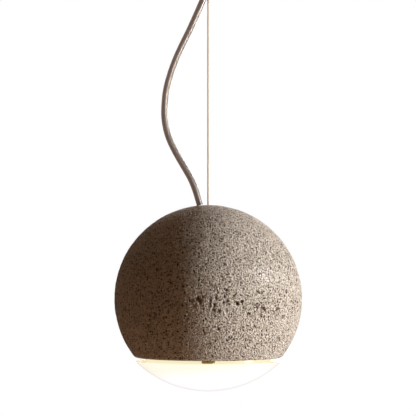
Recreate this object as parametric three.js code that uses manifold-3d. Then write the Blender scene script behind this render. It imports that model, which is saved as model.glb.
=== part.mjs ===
// Pendant ceiling light: a hollow concrete ball on a thin steel wire, closed below by an opal glass bowl.
// Millimetres, +Z up. The origin is on the ceiling, at the middle of the bracket, and all hangs below it.

import * as THREE from "three";
import { mergeVertices } from "three/addons/utils/BufferGeometryUtils.js";
import Module from "manifold-3d";

const wasm = await Module();
wasm.setup();

// ---- Driving dimensions ----

const GAP = 0.3; // left between touching pieces
const MERGE_DISTANCE = 1e-3;

const DROP = 320; // ceiling to the top of the shade

const SHADE_RADIUS = 90;
const SHADE_WALL = 12;
const RIM_DROP = 56; // centre of the ball to the flat rim
const RIM_WIDTH = 6.5;
const RIM_ROUNDING = 1.8;
const SEAT_RADIUS = 25; // flat ground inside the top of the shade
const SEAT_DEPTH = 1; // into the inner ball

const WIRE_RADIUS = 1;
const FLEX_RADIUS = 3;
const FLEX_OFFSET = -8; // where the flex enters the shade, beside the wire
const CORE_RADIUS = 0.9;
const CORE_LAY = 1.9; // middle of the sheath to the middle of a core

const CANOPY_RADIUS = 50;
const CANOPY_HEIGHT = 30;
const CANOPY_WALL = 1.2;
const CANOPY_ROUNDING = 4;
const CANOPY_SCREW_DROP = 9;
const CORD_GRIP_OFFSET = 16;

const BRACKET_WIDTH = 20;
const BRACKET_PLATE = 1.5;
const BRACKET_LEG = 16;
const BRACKET_SLOT_OFFSET = 27;
const BRACKET_SLOT_LENGTH = 14;
const BRACKET_SLOT_WIDTH = 5;

const GRIPPER_THREAD_RADIUS = 5;
const GRIPPER_THREAD_LENGTH = 10;
const GRIPPER_FLANGE_RADIUS = 8;
const GRIPPER_FLANGE = 2.7;
const GRIPPER_LENGTH = 16; // below the canopy floor
const GRIPPER_NOSE_RADIUS = 4.5;
const GRIPPER_NOSE_CHAMFER = 0.8;
const GRIPPER_WAIST = 4; // straight part below the flange
const GRIPPER_WAIST_INSET = 1.5;
const GRIPPER_CONE_TOP = 13; // above the gripper's nose
const GRIPPER_CHAMBER_PLAY = 0.7; // round the balls
const GRIPPER_CAP = 1.5;
const GRIPPER_NUT_FLATS = 14;
const CANOPY_NUT_HEIGHT = 4;
const SWING_DROP = 1; // plunger to the point the wire swings about
const BALL_RADIUS = 1.1;
const PLUNGER_RADIUS = 2.4;
const PLUNGER_REACH = 6; // below the gripper's nose
const PLUNGER_DEPTH = 7.7; // into the gripper's nose
const PLUNGER_KNOB = 1.6;
const PLUNGER_KNOB_LIP = 0.8;
const SPRING_RADIUS = 2.5;
const SPRING_WIRE = 0.35;
const SPRING_TURNS = 5;
const SPRING_WASHER = 0.6;
const FERRULE_TOP = -9;
const FERRULE_LENGTH = 9;
const FERRULE_WALL = 0.7;
const FERRULE_CAP = 1.2;

const CORD_GRIP_THREAD_RADIUS = 6;
const CORD_GRIP_FLANGE_RADIUS = 7.4;
const CORD_GRIP_LENGTH = 21.7; // below the canopy floor
const CORD_GRIP_NOSE_RADIUS = 4.2;
const CORD_GRIP_THREAD = 8; // above the underside of the canopy floor
const CORD_GRIP_TAPER_INSET = 1.2;
const CORD_GRIP_TAPER_DROP = 2;
const CORD_NUT_FLATS = 15;
const FLEX_TAIL = 1.5; // sheath above the cord grip

const BLOCK_CENTRE = [-10, 25];
const BLOCK_LENGTH = 30;
const BLOCK_WIDTH = 15;
const BLOCK_HEIGHT = 12;
const BLOCK_PITCH = 10;
const BLOCK_SCREW_DEPTH = 4;
const BLOCK_NOTCH = 1.6;
const BLOCK_NOTCH_DEPTH = 5;

const LEAD_STRAIGHT = 3; // above the end of the sheath
const LEAD_PEAK = 12; // above the end of the sheath
const LEAD_FAN = 4; // from one lead to the next where they part
const LEAD_ENTRY = 4; // above the block's underside
// Over the nuts: share of the way across, distance back, spread, and drop from the peak.
const LEAD_ARCH = [
  [0, 4, 1.5, 2],
  [0.5, 9, 2, 0],
];
// In front of the block: distance out, and height above the entry.
const LEAD_FALL = [
  [4.5, 7],
  [2.5, 0.8],
];

// The flex, from its entry in the shade up to the cord grip: a lazy S that passes behind the wire.
const FLEX_ROUTE = [
  [-8, 0, -320],
  [-9.5, 0, -315],
  [-12.2, 0, -306],
  [-16.2, 0.2, -296],
  [-21.4, 0.5, -286.5],
  [-27, 1, -277],
  [-32.3, 1.5, -267.5],
  [-36.8, 2, -258],
  [-40.1, 2.5, -248],
  [-42, 3, -236.5],
  [-42.1, 3.6, -225],
  [-40.6, 4.2, -210],
  [-37, 4.8, -195.5],
  [-31.9, 5.4, -181],
  [-25.7, 5.9, -167],
  [-18.6, 6.3, -152.5],
  [-12, 6.6, -138],
  [-5.6, 6.7, -123.5],
  [0.3, 6.5, -111],
  [6, 5.8, -98],
  [11, 4.2, -84],
  [14.5, 2, -71],
  [15.9, 0.4, -61],
  [16, 0, -52.2],
];
const FLEX_HOLE_PLAY = 0.4;
const WIRE_HOLE_PLAY = 0.8;

const CUSHION = 2;
const HANGER_PLATE = 2.5;
const HANGER_PLATE_RADIUS = 23;
const STAY_RADIUS = 2;
const STAY_PITCH_RADIUS = 19;
const CLAMP_RADIUS = 4.6;
const CLAMP_LENGTH = 10;
const SWAGE_RADIUS = 3;
const SWAGE_LENGTH = 12;
const INNER_FLEX_INSET = 2; // below the top of the shade
const INNER_FLEX_TAIL = 2; // below the clamp
const LAMP_LEAD_STRAIGHT = 5;
const LAMP_LEAD_SPREAD = 1.5;
const LAMP_LEAD_PARTING = 0.35; // share of the fall
const LAMP_LEAD_DROP = 6; // straight down on to the terminal
const TERMINAL_INSET = 1.8; // from the lampholder's edge
const TERMINAL_OFFSET = 1;
const ROD_NUT_FLATS = 7;
const ROD_NUT_HEIGHT = 3.2;
const STAY_END = 1; // below its nut

const TRAY_ABOVE_RIM = 9;
const TRAY_PLATE = 1.2;
const TRAY_FLANGE = 5;
const TRAY_BEND = 1;
const TRAY_COLLAR = 2;
const TRAY_LAMP_HOLE = 11;
const TRAY_PLAY = 1.5; // to the mouth of the shade
const EARTH_PITCH_RADIUS = 32;
const EARTH_ANGLE = THREE.MathUtils.degToRad(120);

const GLASS_WALL = 3;
const GLASS_DROP = 3.6; // rim of the shade to the lip of the glass
const GLASS_DEPTH = 29; // lip to the bottom of the bowl
const GLASS_LIP = 1.4;
const GLASS_INSET = 0.9; // edge of the shade's rim to the edge of the lip
const GLASS_NECK_HEIGHT = 10.2;
const NECK_PLAY = 3.5; // mouth of the shade to the neck, where the clips sit

const CLIP_WIDTH = 12;
const CLIP_PLATE = 0.8;
const CLIP_SCREW_INSET = 5; // inside of the neck to the screw, and screw to the end of the foot
const CLIP_BEND = 1;
const CLIP_FLARE = 1.2;
const CLIP_FLARE_DROP = 0.4; // below the rim

const LAMP_TRAVEL_ROOM = 15.5; // lamp to the bottom of the bowl
const LAMP_RADIUS = 7.5;
const LAMP_GLASS_LENGTH = 37;
const LAMP_GLASS_WALL = 0.8;
const LIGHT_STRIP_WIDTH = 6;
const LIGHT_STRIP_THICKNESS = 2;
const LIGHT_STRIP_RISE = 8; // above the lamp's round end
const LIGHT_STRIP_GAP = 0.5; // below the base
const LAMP_BASE_LENGTH = 14;
const LAMP_BASE_WIDTH = 8;
const LAMP_BASE_HEIGHT = 8;
const LAMP_BASE_SEAT = 5; // how far the base goes into the lampholder
const PIN_RADIUS = 0.6;
const PIN_LENGTH = 8;
const PIN_SPACING = 9;
const PIN_ROOM = 2; // beyond the pin's end
const HOLDER_RADIUS = 10;
const HOLDER_HEIGHT = 21;
const HOLDER_CHAMFER = 1;
const HOLDER_SCREW = 6;
const HOLDER_SCREW_HOLE = 7;
const BRIDGE_PLATE = 1.2;
const BRIDGE_WIDTH = 12;
const BRIDGE_FOOT = 12;
const BRIDGE_PLAY = 1; // to the lampholder, and to the rolled edge of the tray's hole

const M3_RADIUS = 1.5;
const M3_HOLE = 1.8;
const M3_HEAD_RADIUS = 2.8;
const M3_HEAD = 2;
const M4_RADIUS = 2;
const M4_HOLE = 2.3;
const M4_HEAD_RADIUS = 3.7;
const M4_HEAD = 2.4;
const HEAD_CHAMFER = 1 / 4; // of a screw head's height
const HEAD_SLOT = 1 / 3; // of a screw head's height
const SCREW_END = 2; // beyond what a screw holds
const EDGE = 0.6; // small chamfers
const DRILL_RUN = 5; // past the faces that a hole goes through

const FINE = 40; // sides of the large round pieces
const MEDIUM = 20;
const SMALL = 10;
const TINY = 8;
const SPRING_SIDES = 4;
const SPRING_POINTS = 8; // to a turn
const FLEX_SIDES = 10;
const FLEX_STEPS = 28;
const WIRE_STEPS = 12;
const SUPPLY_LEAD_STEPS = 12;
const LAMP_LEAD_STEPS = 10;
const BALL_STEP = THREE.MathUtils.degToRad(10);
const BOWL_STEP = THREE.MathUtils.degToRad(8);
const BULB_STEP = THREE.MathUtils.degToRad(30);
const QUARTER = Math.PI / 2;
const THIRD = (2 * Math.PI) / 3;

// ---- Shape tools ----

// A solid of revolution about Z. Points are [radius, height], anticlockwise round the section.
function turned(profile, sides = SMALL) {
  const points = profile.map(([radius, height]) => new THREE.Vector2(radius, height));
  return new THREE.LatheGeometry(points, sides).rotateX(QUARTER);
}

function rod(radius, low, high, sides = SMALL) {
  return turned([[0, low], [radius, low], [radius, high], [0, high]], sides);
}

function ring(outer, inner, low, high, sides = SMALL) {
  const section = [[inner, low], [outer, low], [outer, high], [inner, high], [inner, low]];
  return turned(section, sides);
}

function onCircle(radius, angle) {
  return [radius * Math.cos(angle), radius * Math.sin(angle)];
}

// Points of an arc in a section, by angle from the radius axis.
function arc(radius, centreHeight, from, to, step = BALL_STEP) {
  const count = Math.max(1, Math.round(Math.abs(to - from) / step));
  const points = [];
  for (let i = 0; i <= count; i += 1) {
    const angle = from + ((to - from) * i) / count;
    points.push([radius * Math.cos(angle), centreHeight + radius * Math.sin(angle)]);
  }
  return points;
}

// A rounded corner between two points of a section.
function rounding(start, corner, end, count = 3) {
  const curve = new THREE.QuadraticBezierCurve(
    new THREE.Vector2(...start),
    new THREE.Vector2(...corner),
    new THREE.Vector2(...end),
  );
  return curve.getPoints(count).map((point) => [point.x, point.y]);
}

// A flat outline in XY, raised from low to high.
function prism(outline, low, high) {
  const settings = { depth: high - low, bevelEnabled: false, curveSegments: SMALL / 2 };
  return new THREE.ExtrudeGeometry(outline, settings).translate(0, 0, low);
}

// A flat outline in XZ, given a width along Y about the middle.
function strip(points, width) {
  const outline = new THREE.Shape(points.map(([x, z]) => new THREE.Vector2(x, z)));
  const settings = { depth: width, bevelEnabled: false };
  return new THREE.ExtrudeGeometry(outline, settings)
    .translate(0, 0, -width / 2)
    .rotateX(QUARTER);
}

function hexagon(flats) {
  const corner = flats / 2 / Math.cos(Math.PI / 6);
  const points = [];
  for (let i = 0; i < 6; i += 1) {
    const angle = Math.PI / 6 + (i * Math.PI) / 3;
    points.push(new THREE.Vector2(corner * Math.cos(angle), corner * Math.sin(angle)));
  }
  return new THREE.Shape(points);
}

function nut(flats, holeRadius, low, high) {
  const outline = hexagon(flats);
  outline.holes.push(new THREE.Path().absarc(0, 0, holeRadius, 0, 2 * Math.PI, true));
  return prism(outline, low, high);
}

function box(width, depth, low, high) {
  return new THREE.BoxGeometry(width, depth, high - low).translate(0, 0, (low + high) / 2);
}

// A round tube along a smooth curve through the points.
function tube(points, radius, sides, steps) {
  const section = new THREE.Shape();
  for (let i = 0; i < sides; i += 1) {
    const angle = (2 * Math.PI * i) / sides;
    const x = radius * Math.cos(angle);
    const y = radius * Math.sin(angle);
    if (i === 0) section.moveTo(x, y);
    else section.lineTo(x, y);
  }
  const path = new THREE.CatmullRomCurve3(points.map((point) => new THREE.Vector3(...point)));
  return new THREE.ExtrudeGeometry(section, { extrudePath: path, steps, bevelEnabled: false });
}

// ---- Joining and cutting ----

function solidOf(geometry) {
  const bare = geometry.clone();
  bare.deleteAttribute("normal");
  bare.deleteAttribute("uv");
  const merged = mergeVertices(bare, MERGE_DISTANCE);
  const mesh = new wasm.Mesh({
    numProp: 3,
    vertProperties: merged.attributes.position.array,
    triVerts: new Uint32Array(merged.index.array),
  });
  return new wasm.Manifold(mesh);
}

function geometryOf(solid) {
  const mesh = solid.getMesh();
  const geometry = new THREE.BufferGeometry();
  geometry.setAttribute("position", new THREE.BufferAttribute(mesh.vertProperties, 3));
  geometry.setIndex(new THREE.BufferAttribute(mesh.triVerts, 1));
  geometry.computeVertexNormals();
  return geometry;
}

function cut(body, tools) {
  const whole = solidOf(body);
  return geometryOf(tools.reduce((left, tool) => left.subtract(solidOf(tool)), whole));
}

function joined(parts) {
  return geometryOf(parts.map(solidOf).reduce((whole, part) => whole.add(part)));
}

// ---- Materials: colour, roughness, metalness ----

const CONCRETE = [0x9c8e7c, 0.9, 0];
const OPAL_GLASS = [0xfffaf0, 0.35, 0];
const CLEAR_GLASS = [0xf4f6f6, 0.1, 0];
const BRASS = [0xb08a4a, 0.3, 1];
const STEEL = [0xb4b4b0, 0.35, 1];
const WHITE_PAINT = [0xf0eeea, 0.45, 0];
const SATIN_NICKEL = [0xb9b7b1, 0.3, 1];
const CLEAR_SHEATH = [0xb8a890, 0.2, 0];
const NYLON = [0xe8e6e0, 0.5, 0];
const RUBBER = [0x2c2c2c, 0.8, 0];
const CERAMIC = [0xf2efe8, 0.4, 0];
const BROWN_CORE = [0x6a4a30, 0.4, 0];
const BLUE_CORE = [0x9aa2b8, 0.4, 0];
const EARTH_CORE = [0xb6a848, 0.4, 0];

function piece(name, geometry, [color, roughness, metalness]) {
  const material = new THREE.MeshStandardMaterial({ color, roughness, metalness });
  const mesh = new THREE.Mesh(geometry, material);
  mesh.name = name;
  return mesh;
}

// ---- Ceiling bracket and canopy ----

const canopyInner = CANOPY_RADIUS - CANOPY_WALL;
const floorTop = CANOPY_WALL - CANOPY_HEIGHT;
const floorBottom = -CANOPY_HEIGHT;
const bracketHalf = Math.sqrt((canopyInner - 2 * GAP) ** 2 - (BRACKET_WIDTH / 2) ** 2);

function slot(length, width) {
  const half = (length - width) / 2;
  const outline = new THREE.Shape();
  outline.absarc(half, 0, width / 2, -QUARTER, QUARTER);
  outline.absarc(-half, 0, width / 2, QUARTER, 3 * QUARTER);
  return outline;
}

// A bent bar: a flat plate on the ceiling, with a leg down at each end for a canopy screw.
function ceilingBracket() {
  const inner = bracketHalf - BRACKET_PLATE;
  const bent = strip(
    [
      [-bracketHalf, -BRACKET_LEG],
      [-inner, -BRACKET_LEG],
      [-inner, -BRACKET_PLATE],
      [inner, -BRACKET_PLATE],
      [inner, -BRACKET_LEG],
      [bracketHalf, -BRACKET_LEG],
      [bracketHalf, 0],
      [-bracketHalf, 0],
    ],
    BRACKET_WIDTH,
  );
  const slots = [-1, 1].map((side) =>
    prism(slot(BRACKET_SLOT_LENGTH, BRACKET_SLOT_WIDTH), -2 * BRACKET_PLATE, BRACKET_PLATE).translate(
      side * BRACKET_SLOT_OFFSET,
      0,
      0,
    ),
  );
  const screwHole = rod(M4_HOLE, -CANOPY_RADIUS, CANOPY_RADIUS)
    .rotateY(QUARTER)
    .translate(0, 0, -CANOPY_SCREW_DROP);
  return cut(bent, [...slots, screwHole]);
}

// A spun cup, open at the ceiling, with a rounded lower edge.
function canopyCup() {
  const innerRounding = CANOPY_ROUNDING - CANOPY_WALL;
  const section = [
    [0, floorBottom],
    ...rounding(
      [CANOPY_RADIUS - CANOPY_ROUNDING, floorBottom],
      [CANOPY_RADIUS, floorBottom],
      [CANOPY_RADIUS, floorBottom + CANOPY_ROUNDING],
    ),
    [CANOPY_RADIUS, 0],
    [canopyInner, 0],
    ...rounding(
      [canopyInner, floorTop + innerRounding],
      [canopyInner, floorTop],
      [canopyInner - innerRounding, floorTop],
    ),
    [0, floorTop],
  ];
  const gripperHole = rod(GRIPPER_THREAD_RADIUS + GAP, 2 * floorBottom, 0, MEDIUM);
  const cordHole = rod(CORD_GRIP_THREAD_RADIUS + GAP, 2 * floorBottom, 0, MEDIUM);
  cordHole.translate(CORD_GRIP_OFFSET, 0, 0);
  const screwHole = rod(M4_HOLE, -2 * CANOPY_RADIUS, 2 * CANOPY_RADIUS)
    .rotateY(QUARTER)
    .translate(0, 0, -CANOPY_SCREW_DROP);
  return cut(turned(section, FINE), [gripperHole, cordHole, screwHole]);
}

// A slotted cheese-head screw along Z, its head's seat at height zero and its shank above it.
function slottedScrew(radius, headRadius, head, length) {
  const chamfer = head * HEAD_CHAMFER;
  const section = [
    [0, -head],
    [headRadius - chamfer, -head],
    [headRadius, chamfer - head],
    [headRadius, 0],
    [radius, 0],
    [radius, length],
    [0, length],
  ];
  const blank = turned(section, TINY);
  const driverSlot = box(3 * headRadius, head * HEAD_SLOT, -2 * head, -head / 2);
  return cut(blank, [driverSlot]);
}

function canopyScrew(side) {
  const length = CANOPY_RADIUS - bracketHalf + 2 * BRACKET_PLATE + GAP;
  return slottedScrew(M4_RADIUS, M4_HEAD_RADIUS, M4_HEAD, length)
    .rotateY(-side * QUARTER)
    .translate(side * (CANOPY_RADIUS + GAP), 0, -CANOPY_SCREW_DROP);
}

// ---- Wire gripper ----

const gripperTop = floorBottom + GRIPPER_THREAD_LENGTH;
const flangeTop = floorBottom - GAP;
const flangeBottom = flangeTop - GRIPPER_FLANGE;
const gripperBottom = floorBottom - GRIPPER_LENGTH;
const plungerBottom = gripperBottom - PLUNGER_REACH;
const plungerTop = gripperBottom + PLUNGER_DEPTH;
const coneTop = gripperBottom + GRIPPER_CONE_TOP;
const chamberRadius = BALL_RADIUS * 2 + WIRE_RADIUS + GRIPPER_CHAMBER_PLAY;
const swingPivot = plungerBottom - SWING_DROP;
const canopyNutBottom = floorTop + GAP;
const canopyNutTop = canopyNutBottom + CANOPY_NUT_HEIGHT;

// A turned body: thread through the canopy floor, flange below it, then a tapered nose.
function gripperBody() {
  const plungerBore = PLUNGER_RADIUS + GAP;
  const waist = GRIPPER_FLANGE_RADIUS - GRIPPER_WAIST_INSET;
  const section = [
    [plungerBore, gripperBottom],
    [GRIPPER_NOSE_RADIUS, gripperBottom],
    [GRIPPER_NOSE_RADIUS + GRIPPER_NOSE_CHAMFER, gripperBottom + GRIPPER_NOSE_CHAMFER],
    [waist, flangeBottom - GRIPPER_WAIST],
    [waist, flangeBottom - EDGE],
    [GRIPPER_FLANGE_RADIUS, flangeBottom],
    [GRIPPER_FLANGE_RADIUS, flangeTop],
    [GRIPPER_THREAD_RADIUS, flangeTop],
    [GRIPPER_THREAD_RADIUS, gripperTop],
    [chamberRadius, gripperTop],
    [chamberRadius, coneTop],
    [chamberRadius - GAP, plungerTop - GAP],
    [plungerBore, plungerTop - 2 * GAP],
    [plungerBore, gripperBottom],
  ];
  return turned(section, MEDIUM);
}

function gripperCap() {
  return ring(chamberRadius - GAP, WIRE_RADIUS + GAP, gripperTop - GRIPPER_CAP, gripperTop, MEDIUM);
}

// A tube round the wire, with a knob that is pressed up to let the wire run.
function gripperPlunger() {
  const bore = WIRE_RADIUS + GAP;
  const knob = PLUNGER_RADIUS + PLUNGER_KNOB_LIP;
  const section = [
    [bore, plungerBottom],
    [knob - GAP, plungerBottom],
    [knob, plungerBottom + GAP],
    [knob, plungerBottom + PLUNGER_KNOB],
    [PLUNGER_RADIUS, plungerBottom + PLUNGER_KNOB],
    [PLUNGER_RADIUS, plungerTop],
    [bore, plungerTop],
    [bore, plungerBottom],
  ];
  return turned(section);
}

const ballHeight = plungerTop + BALL_RADIUS + GAP / 2;
const washerBottom = ballHeight + BALL_RADIUS + GAP / 2;
const springBottom = washerBottom + SPRING_WASHER + GAP + SPRING_WIRE;
const springTop = gripperTop - GRIPPER_CAP - GAP - SPRING_WIRE;

function gripBall(index) {
  const reach = WIRE_RADIUS + BALL_RADIUS + GAP / 2;
  const angle = THIRD * index;
  return new THREE.IcosahedronGeometry(BALL_RADIUS, 1).translate(
    reach * Math.cos(angle),
    reach * Math.sin(angle),
    ballHeight,
  );
}

function springWasher() {
  const outer = chamberRadius - GAP;
  return ring(outer, WIRE_RADIUS + GAP, washerBottom, washerBottom + SPRING_WASHER);
}

function gripSpring() {
  const count = SPRING_TURNS * SPRING_POINTS;
  const points = [];
  for (let i = 0; i <= count; i += 1) {
    const angle = (2 * Math.PI * i) / SPRING_POINTS;
    const height = springBottom + ((springTop - springBottom) * i) / count;
    points.push([SPRING_RADIUS * Math.cos(angle), SPRING_RADIUS * Math.sin(angle), height]);
  }
  return tube(points, SPRING_WIRE, SPRING_SIDES, count);
}

const ferruleRoof = FERRULE_TOP - FERRULE_CAP;

function wireTail() {
  return rod(WIRE_RADIUS, swingPivot + GAP / 2, ferruleRoof - GAP, TINY);
}

// A crimped cap that keeps the strands of the wire's upper end together.
function wireFerrule() {
  const low = FERRULE_TOP - FERRULE_LENGTH;
  const bore = WIRE_RADIUS + GAP;
  const outer = bore + FERRULE_WALL;
  return turned([
    [bore, low],
    [outer, low],
    [outer, FERRULE_TOP - GAP],
    [outer - GAP, FERRULE_TOP],
    [0, FERRULE_TOP],
    [0, ferruleRoof],
    [bore, ferruleRoof],
    [bore, low],
  ]);
}

// ---- Cord grip for the flex ----

const cordGripBottom = floorBottom - CORD_GRIP_LENGTH;
const cordGripTop = floorBottom + CORD_GRIP_THREAD;
const flexTailTop = cordGripTop + FLEX_TAIL;

// A moulded gland, tapering down to a soft nose round the flex.
function cordGrip() {
  const bore = FLEX_RADIUS + GAP;
  const section = [
    [bore, cordGripBottom],
    [CORD_GRIP_NOSE_RADIUS, cordGripBottom],
    [CORD_GRIP_FLANGE_RADIUS - CORD_GRIP_TAPER_INSET, flangeBottom - CORD_GRIP_TAPER_DROP],
    [CORD_GRIP_FLANGE_RADIUS, flangeBottom - EDGE],
    [CORD_GRIP_FLANGE_RADIUS, flangeTop],
    [CORD_GRIP_THREAD_RADIUS, flangeTop],
    [CORD_GRIP_THREAD_RADIUS, cordGripTop],
    [bore, cordGripTop],
    [bore, cordGripBottom],
  ];
  return turned(section, MEDIUM);
}

function flexTail() {
  return rod(FLEX_RADIUS, cordGripBottom, flexTailTop);
}

// ---- Terminal block and supply leads ----

const blockBottom = floorTop + GAP;
const blockTop = blockBottom + BLOCK_HEIGHT;
const poles = [-1, 0, 1];

function terminalBlock() {
  const body = box(BLOCK_LENGTH, BLOCK_WIDTH, blockBottom, blockTop);
  const wells = poles.map((pole) =>
    rod(M3_HEAD_RADIUS, blockTop - BLOCK_SCREW_DEPTH, 2 * BLOCK_HEIGHT).translate(
      pole * BLOCK_PITCH,
      0,
      0,
    ),
  );
  const notchBottom = blockTop - BLOCK_NOTCH_DEPTH;
  const notches = [-1, 1].map((side) =>
    box(BLOCK_NOTCH, 2 * BLOCK_WIDTH, notchBottom, 2 * BLOCK_HEIGHT).translate(
      (side * BLOCK_PITCH) / 2,
      0,
      0,
    ),
  );
  return cut(body, [...wells, ...notches]).translate(...BLOCK_CENTRE, 0);
}

function terminalScrew(pole) {
  const low = blockTop - BLOCK_SCREW_DEPTH + GAP;
  return slottedScrew(M3_HEAD_RADIUS - GAP, M3_HEAD_RADIUS - GAP, M3_HEAD, GAP)
    .rotateX(2 * QUARTER)
    .translate(BLOCK_CENTRE[0] + pole * BLOCK_PITCH, BLOCK_CENTRE[1], low + GAP);
}

// A core from the end of the sheath, fanned out over the nuts and down into the side of the block.
function supplyLead(pole) {
  const [layX, layY] = onCircle(CORE_LAY, QUARTER - pole * THIRD);
  const start = [CORD_GRIP_OFFSET + layX, layY];
  const fanX = CORD_GRIP_OFFSET - LEAD_FAN / 2 + pole * LEAD_FAN;
  const endX = BLOCK_CENTRE[0] + pole * BLOCK_PITCH;
  const endY = BLOCK_CENTRE[1] - BLOCK_WIDTH / 2 - 2 * GAP;
  const peak = flexTailTop + LEAD_PEAK;
  const entry = blockBottom + LEAD_ENTRY;
  const arch = LEAD_ARCH.map(([share, back, spread, drop]) => [
    fanX + (endX - fanX) * share,
    back + spread * pole,
    peak - drop,
  ]);
  const fall = LEAD_FALL.map(([out, height]) => [endX, endY - out, entry + height]);
  const points = [
    [...start, flexTailTop + GAP],
    [...start, flexTailTop + LEAD_STRAIGHT],
    ...arch,
    ...fall,
    [endX, endY, entry],
  ];
  return tube(points, CORE_RADIUS, TINY, SUPPLY_LEAD_STEPS);
}

const ceilingParts = new THREE.Group();
ceilingParts.add(piece("ceiling_bracket", ceilingBracket(), STEEL));
ceilingParts.add(piece("canopy_cup", canopyCup(), SATIN_NICKEL));
ceilingParts.add(piece("canopy_screw_1", canopyScrew(-1), SATIN_NICKEL));
ceilingParts.add(piece("canopy_screw_2", canopyScrew(1), SATIN_NICKEL));
ceilingParts.add(piece("gripper_body", gripperBody(), SATIN_NICKEL));
const gripperNut = nut(GRIPPER_NUT_FLATS, GRIPPER_THREAD_RADIUS + 2 * GAP, canopyNutBottom, canopyNutTop);
ceilingParts.add(piece("gripper_nut", gripperNut, STEEL));
ceilingParts.add(piece("gripper_cap", gripperCap(), STEEL));
ceilingParts.add(piece("gripper_plunger", gripperPlunger(), SATIN_NICKEL));
for (let i = 0; i < 3; i += 1) {
  ceilingParts.add(piece(`grip_ball_${i + 1}`, gripBall(i), STEEL));
}
ceilingParts.add(piece("spring_washer", springWasher(), STEEL));
ceilingParts.add(piece("grip_spring", gripSpring(), STEEL));
ceilingParts.add(piece("wire_tail", wireTail(), STEEL));
ceilingParts.add(piece("wire_ferrule", wireFerrule(), STEEL));

const cordGripParts = new THREE.Group();
cordGripParts.position.x = CORD_GRIP_OFFSET;
cordGripParts.add(piece("cord_grip", cordGrip(), NYLON));
const gripNut = nut(CORD_NUT_FLATS, CORD_GRIP_THREAD_RADIUS + 2 * GAP, canopyNutBottom, canopyNutTop);
cordGripParts.add(piece("cord_grip_nut", gripNut, NYLON));
cordGripParts.add(piece("flex_tail", flexTail(), CLEAR_SHEATH));
ceilingParts.add(cordGripParts);

ceilingParts.add(piece("terminal_block", terminalBlock(), NYLON));
poles.forEach((pole, i) => {
  ceilingParts.add(piece(`terminal_screw_${i + 1}`, terminalScrew(pole), BRASS));
});
const coreFinishes = [BROWN_CORE, EARTH_CORE, BLUE_CORE];
["supply_lead_live", "supply_lead_earth", "supply_lead_neutral"].forEach((name, i) => {
  ceilingParts.add(piece(name, supplyLead(poles[i]), coreFinishes[i]));
});

// ---- Power flex ----

const powerFlex = piece("power_flex", tube(FLEX_ROUTE, FLEX_RADIUS, FLEX_SIDES, FLEX_STEPS), CLEAR_SHEATH);

// ---- Steel wire ----

const wireTop = swingPivot - GAP / 2;
const wireBottom = -DROP + GAP / 2;
const wireEnds = [[0, 0, wireBottom], [0, 0, wireTop]];
const suspensionWire = piece("suspension_wire", tube(wireEnds, WIRE_RADIUS, TINY, WIRE_STEPS), STEEL);

// ---- Concrete shade, about the centre of the ball ----

const innerRadius = SHADE_RADIUS - SHADE_WALL;
const rimRadius = Math.sqrt(SHADE_RADIUS ** 2 - RIM_DROP ** 2);
const mouthRadius = rimRadius - RIM_WIDTH;
const seatHeight = innerRadius - SEAT_DEPTH;
const cushionTop = seatHeight - GAP;
const cushionBottom = cushionTop - CUSHION;
const plateTop = cushionBottom - GAP;
const plateBottom = plateTop - HANGER_PLATE;
const underPlate = plateBottom - GAP;
const flexHole = FLEX_RADIUS + FLEX_HOLE_PLAY;
const wireHole = WIRE_RADIUS + WIRE_HOLE_PLAY;

function throughHole(radius, x = 0, y = 0) {
  return rod(radius, -2 * SHADE_RADIUS, 2 * SHADE_RADIUS).translate(x, y, 0);
}

// Cast as one thick ball, cut flat below, with a straight mouth and a ground seat under the crown.
function concreteShade() {
  const rimAngle = Math.asin(-(RIM_DROP - RIM_ROUNDING) / SHADE_RADIUS);
  const mouthAngle = -Math.acos(mouthRadius / innerRadius);
  const seatAngle = Math.acos(SEAT_RADIUS / innerRadius);
  const outside = arc(SHADE_RADIUS, 0, rimAngle, QUARTER);
  const section = [
    ...rounding([rimRadius - RIM_ROUNDING, -RIM_DROP], [rimRadius, -RIM_DROP], outside[0]),
    ...outside.slice(1),
    [0, seatHeight],
    [SEAT_RADIUS, seatHeight],
    ...arc(innerRadius, 0, seatAngle, mouthAngle),
    ...rounding(
      [mouthRadius, -RIM_DROP + RIM_ROUNDING / 2],
      [mouthRadius, -RIM_DROP],
      [mouthRadius + RIM_ROUNDING / 2, -RIM_DROP],
      2,
    ),
    [rimRadius - RIM_ROUNDING, -RIM_DROP],
  ];
  const wireBore = rod(wireHole, 0, 2 * SHADE_RADIUS);
  const flexBore = rod(flexHole, 0, 2 * SHADE_RADIUS).translate(FLEX_OFFSET, 0, 0);
  return cut(turned(section, FINE), [wireBore, flexBore]);
}

function cushionWasher() {
  const disc = rod(HANGER_PLATE_RADIUS, cushionBottom, cushionTop, MEDIUM);
  return cut(disc, [throughHole(wireHole), throughHole(flexHole, FLEX_OFFSET)]);
}

// ---- Hanger frame: a plate with three stay rods welded under it ----

const trayBottom = -RIM_DROP + TRAY_ABOVE_RIM;
const trayTop = trayBottom + TRAY_PLATE;
const stayBottom = trayBottom - GAP - ROD_NUT_HEIGHT - STAY_END;
const stayAngles = [0, 1, 2].map((i) => QUARTER + THIRD * i);
const clipAngles = [0, 1, 2].map((i) => -QUARTER + THIRD * i);

function hangerFrame() {
  const plate = cut(rod(HANGER_PLATE_RADIUS, plateBottom, plateTop, MEDIUM), [
    throughHole(WIRE_RADIUS + GAP),
    throughHole(flexHole, FLEX_OFFSET),
  ]);
  const stays = stayAngles.map((angle) =>
    rod(STAY_RADIUS, stayBottom, (plateTop + plateBottom) / 2, TINY).translate(
      ...onCircle(STAY_PITCH_RADIUS, angle),
      0,
    ),
  );
  return joined([plate, ...stays]);
}

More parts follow.
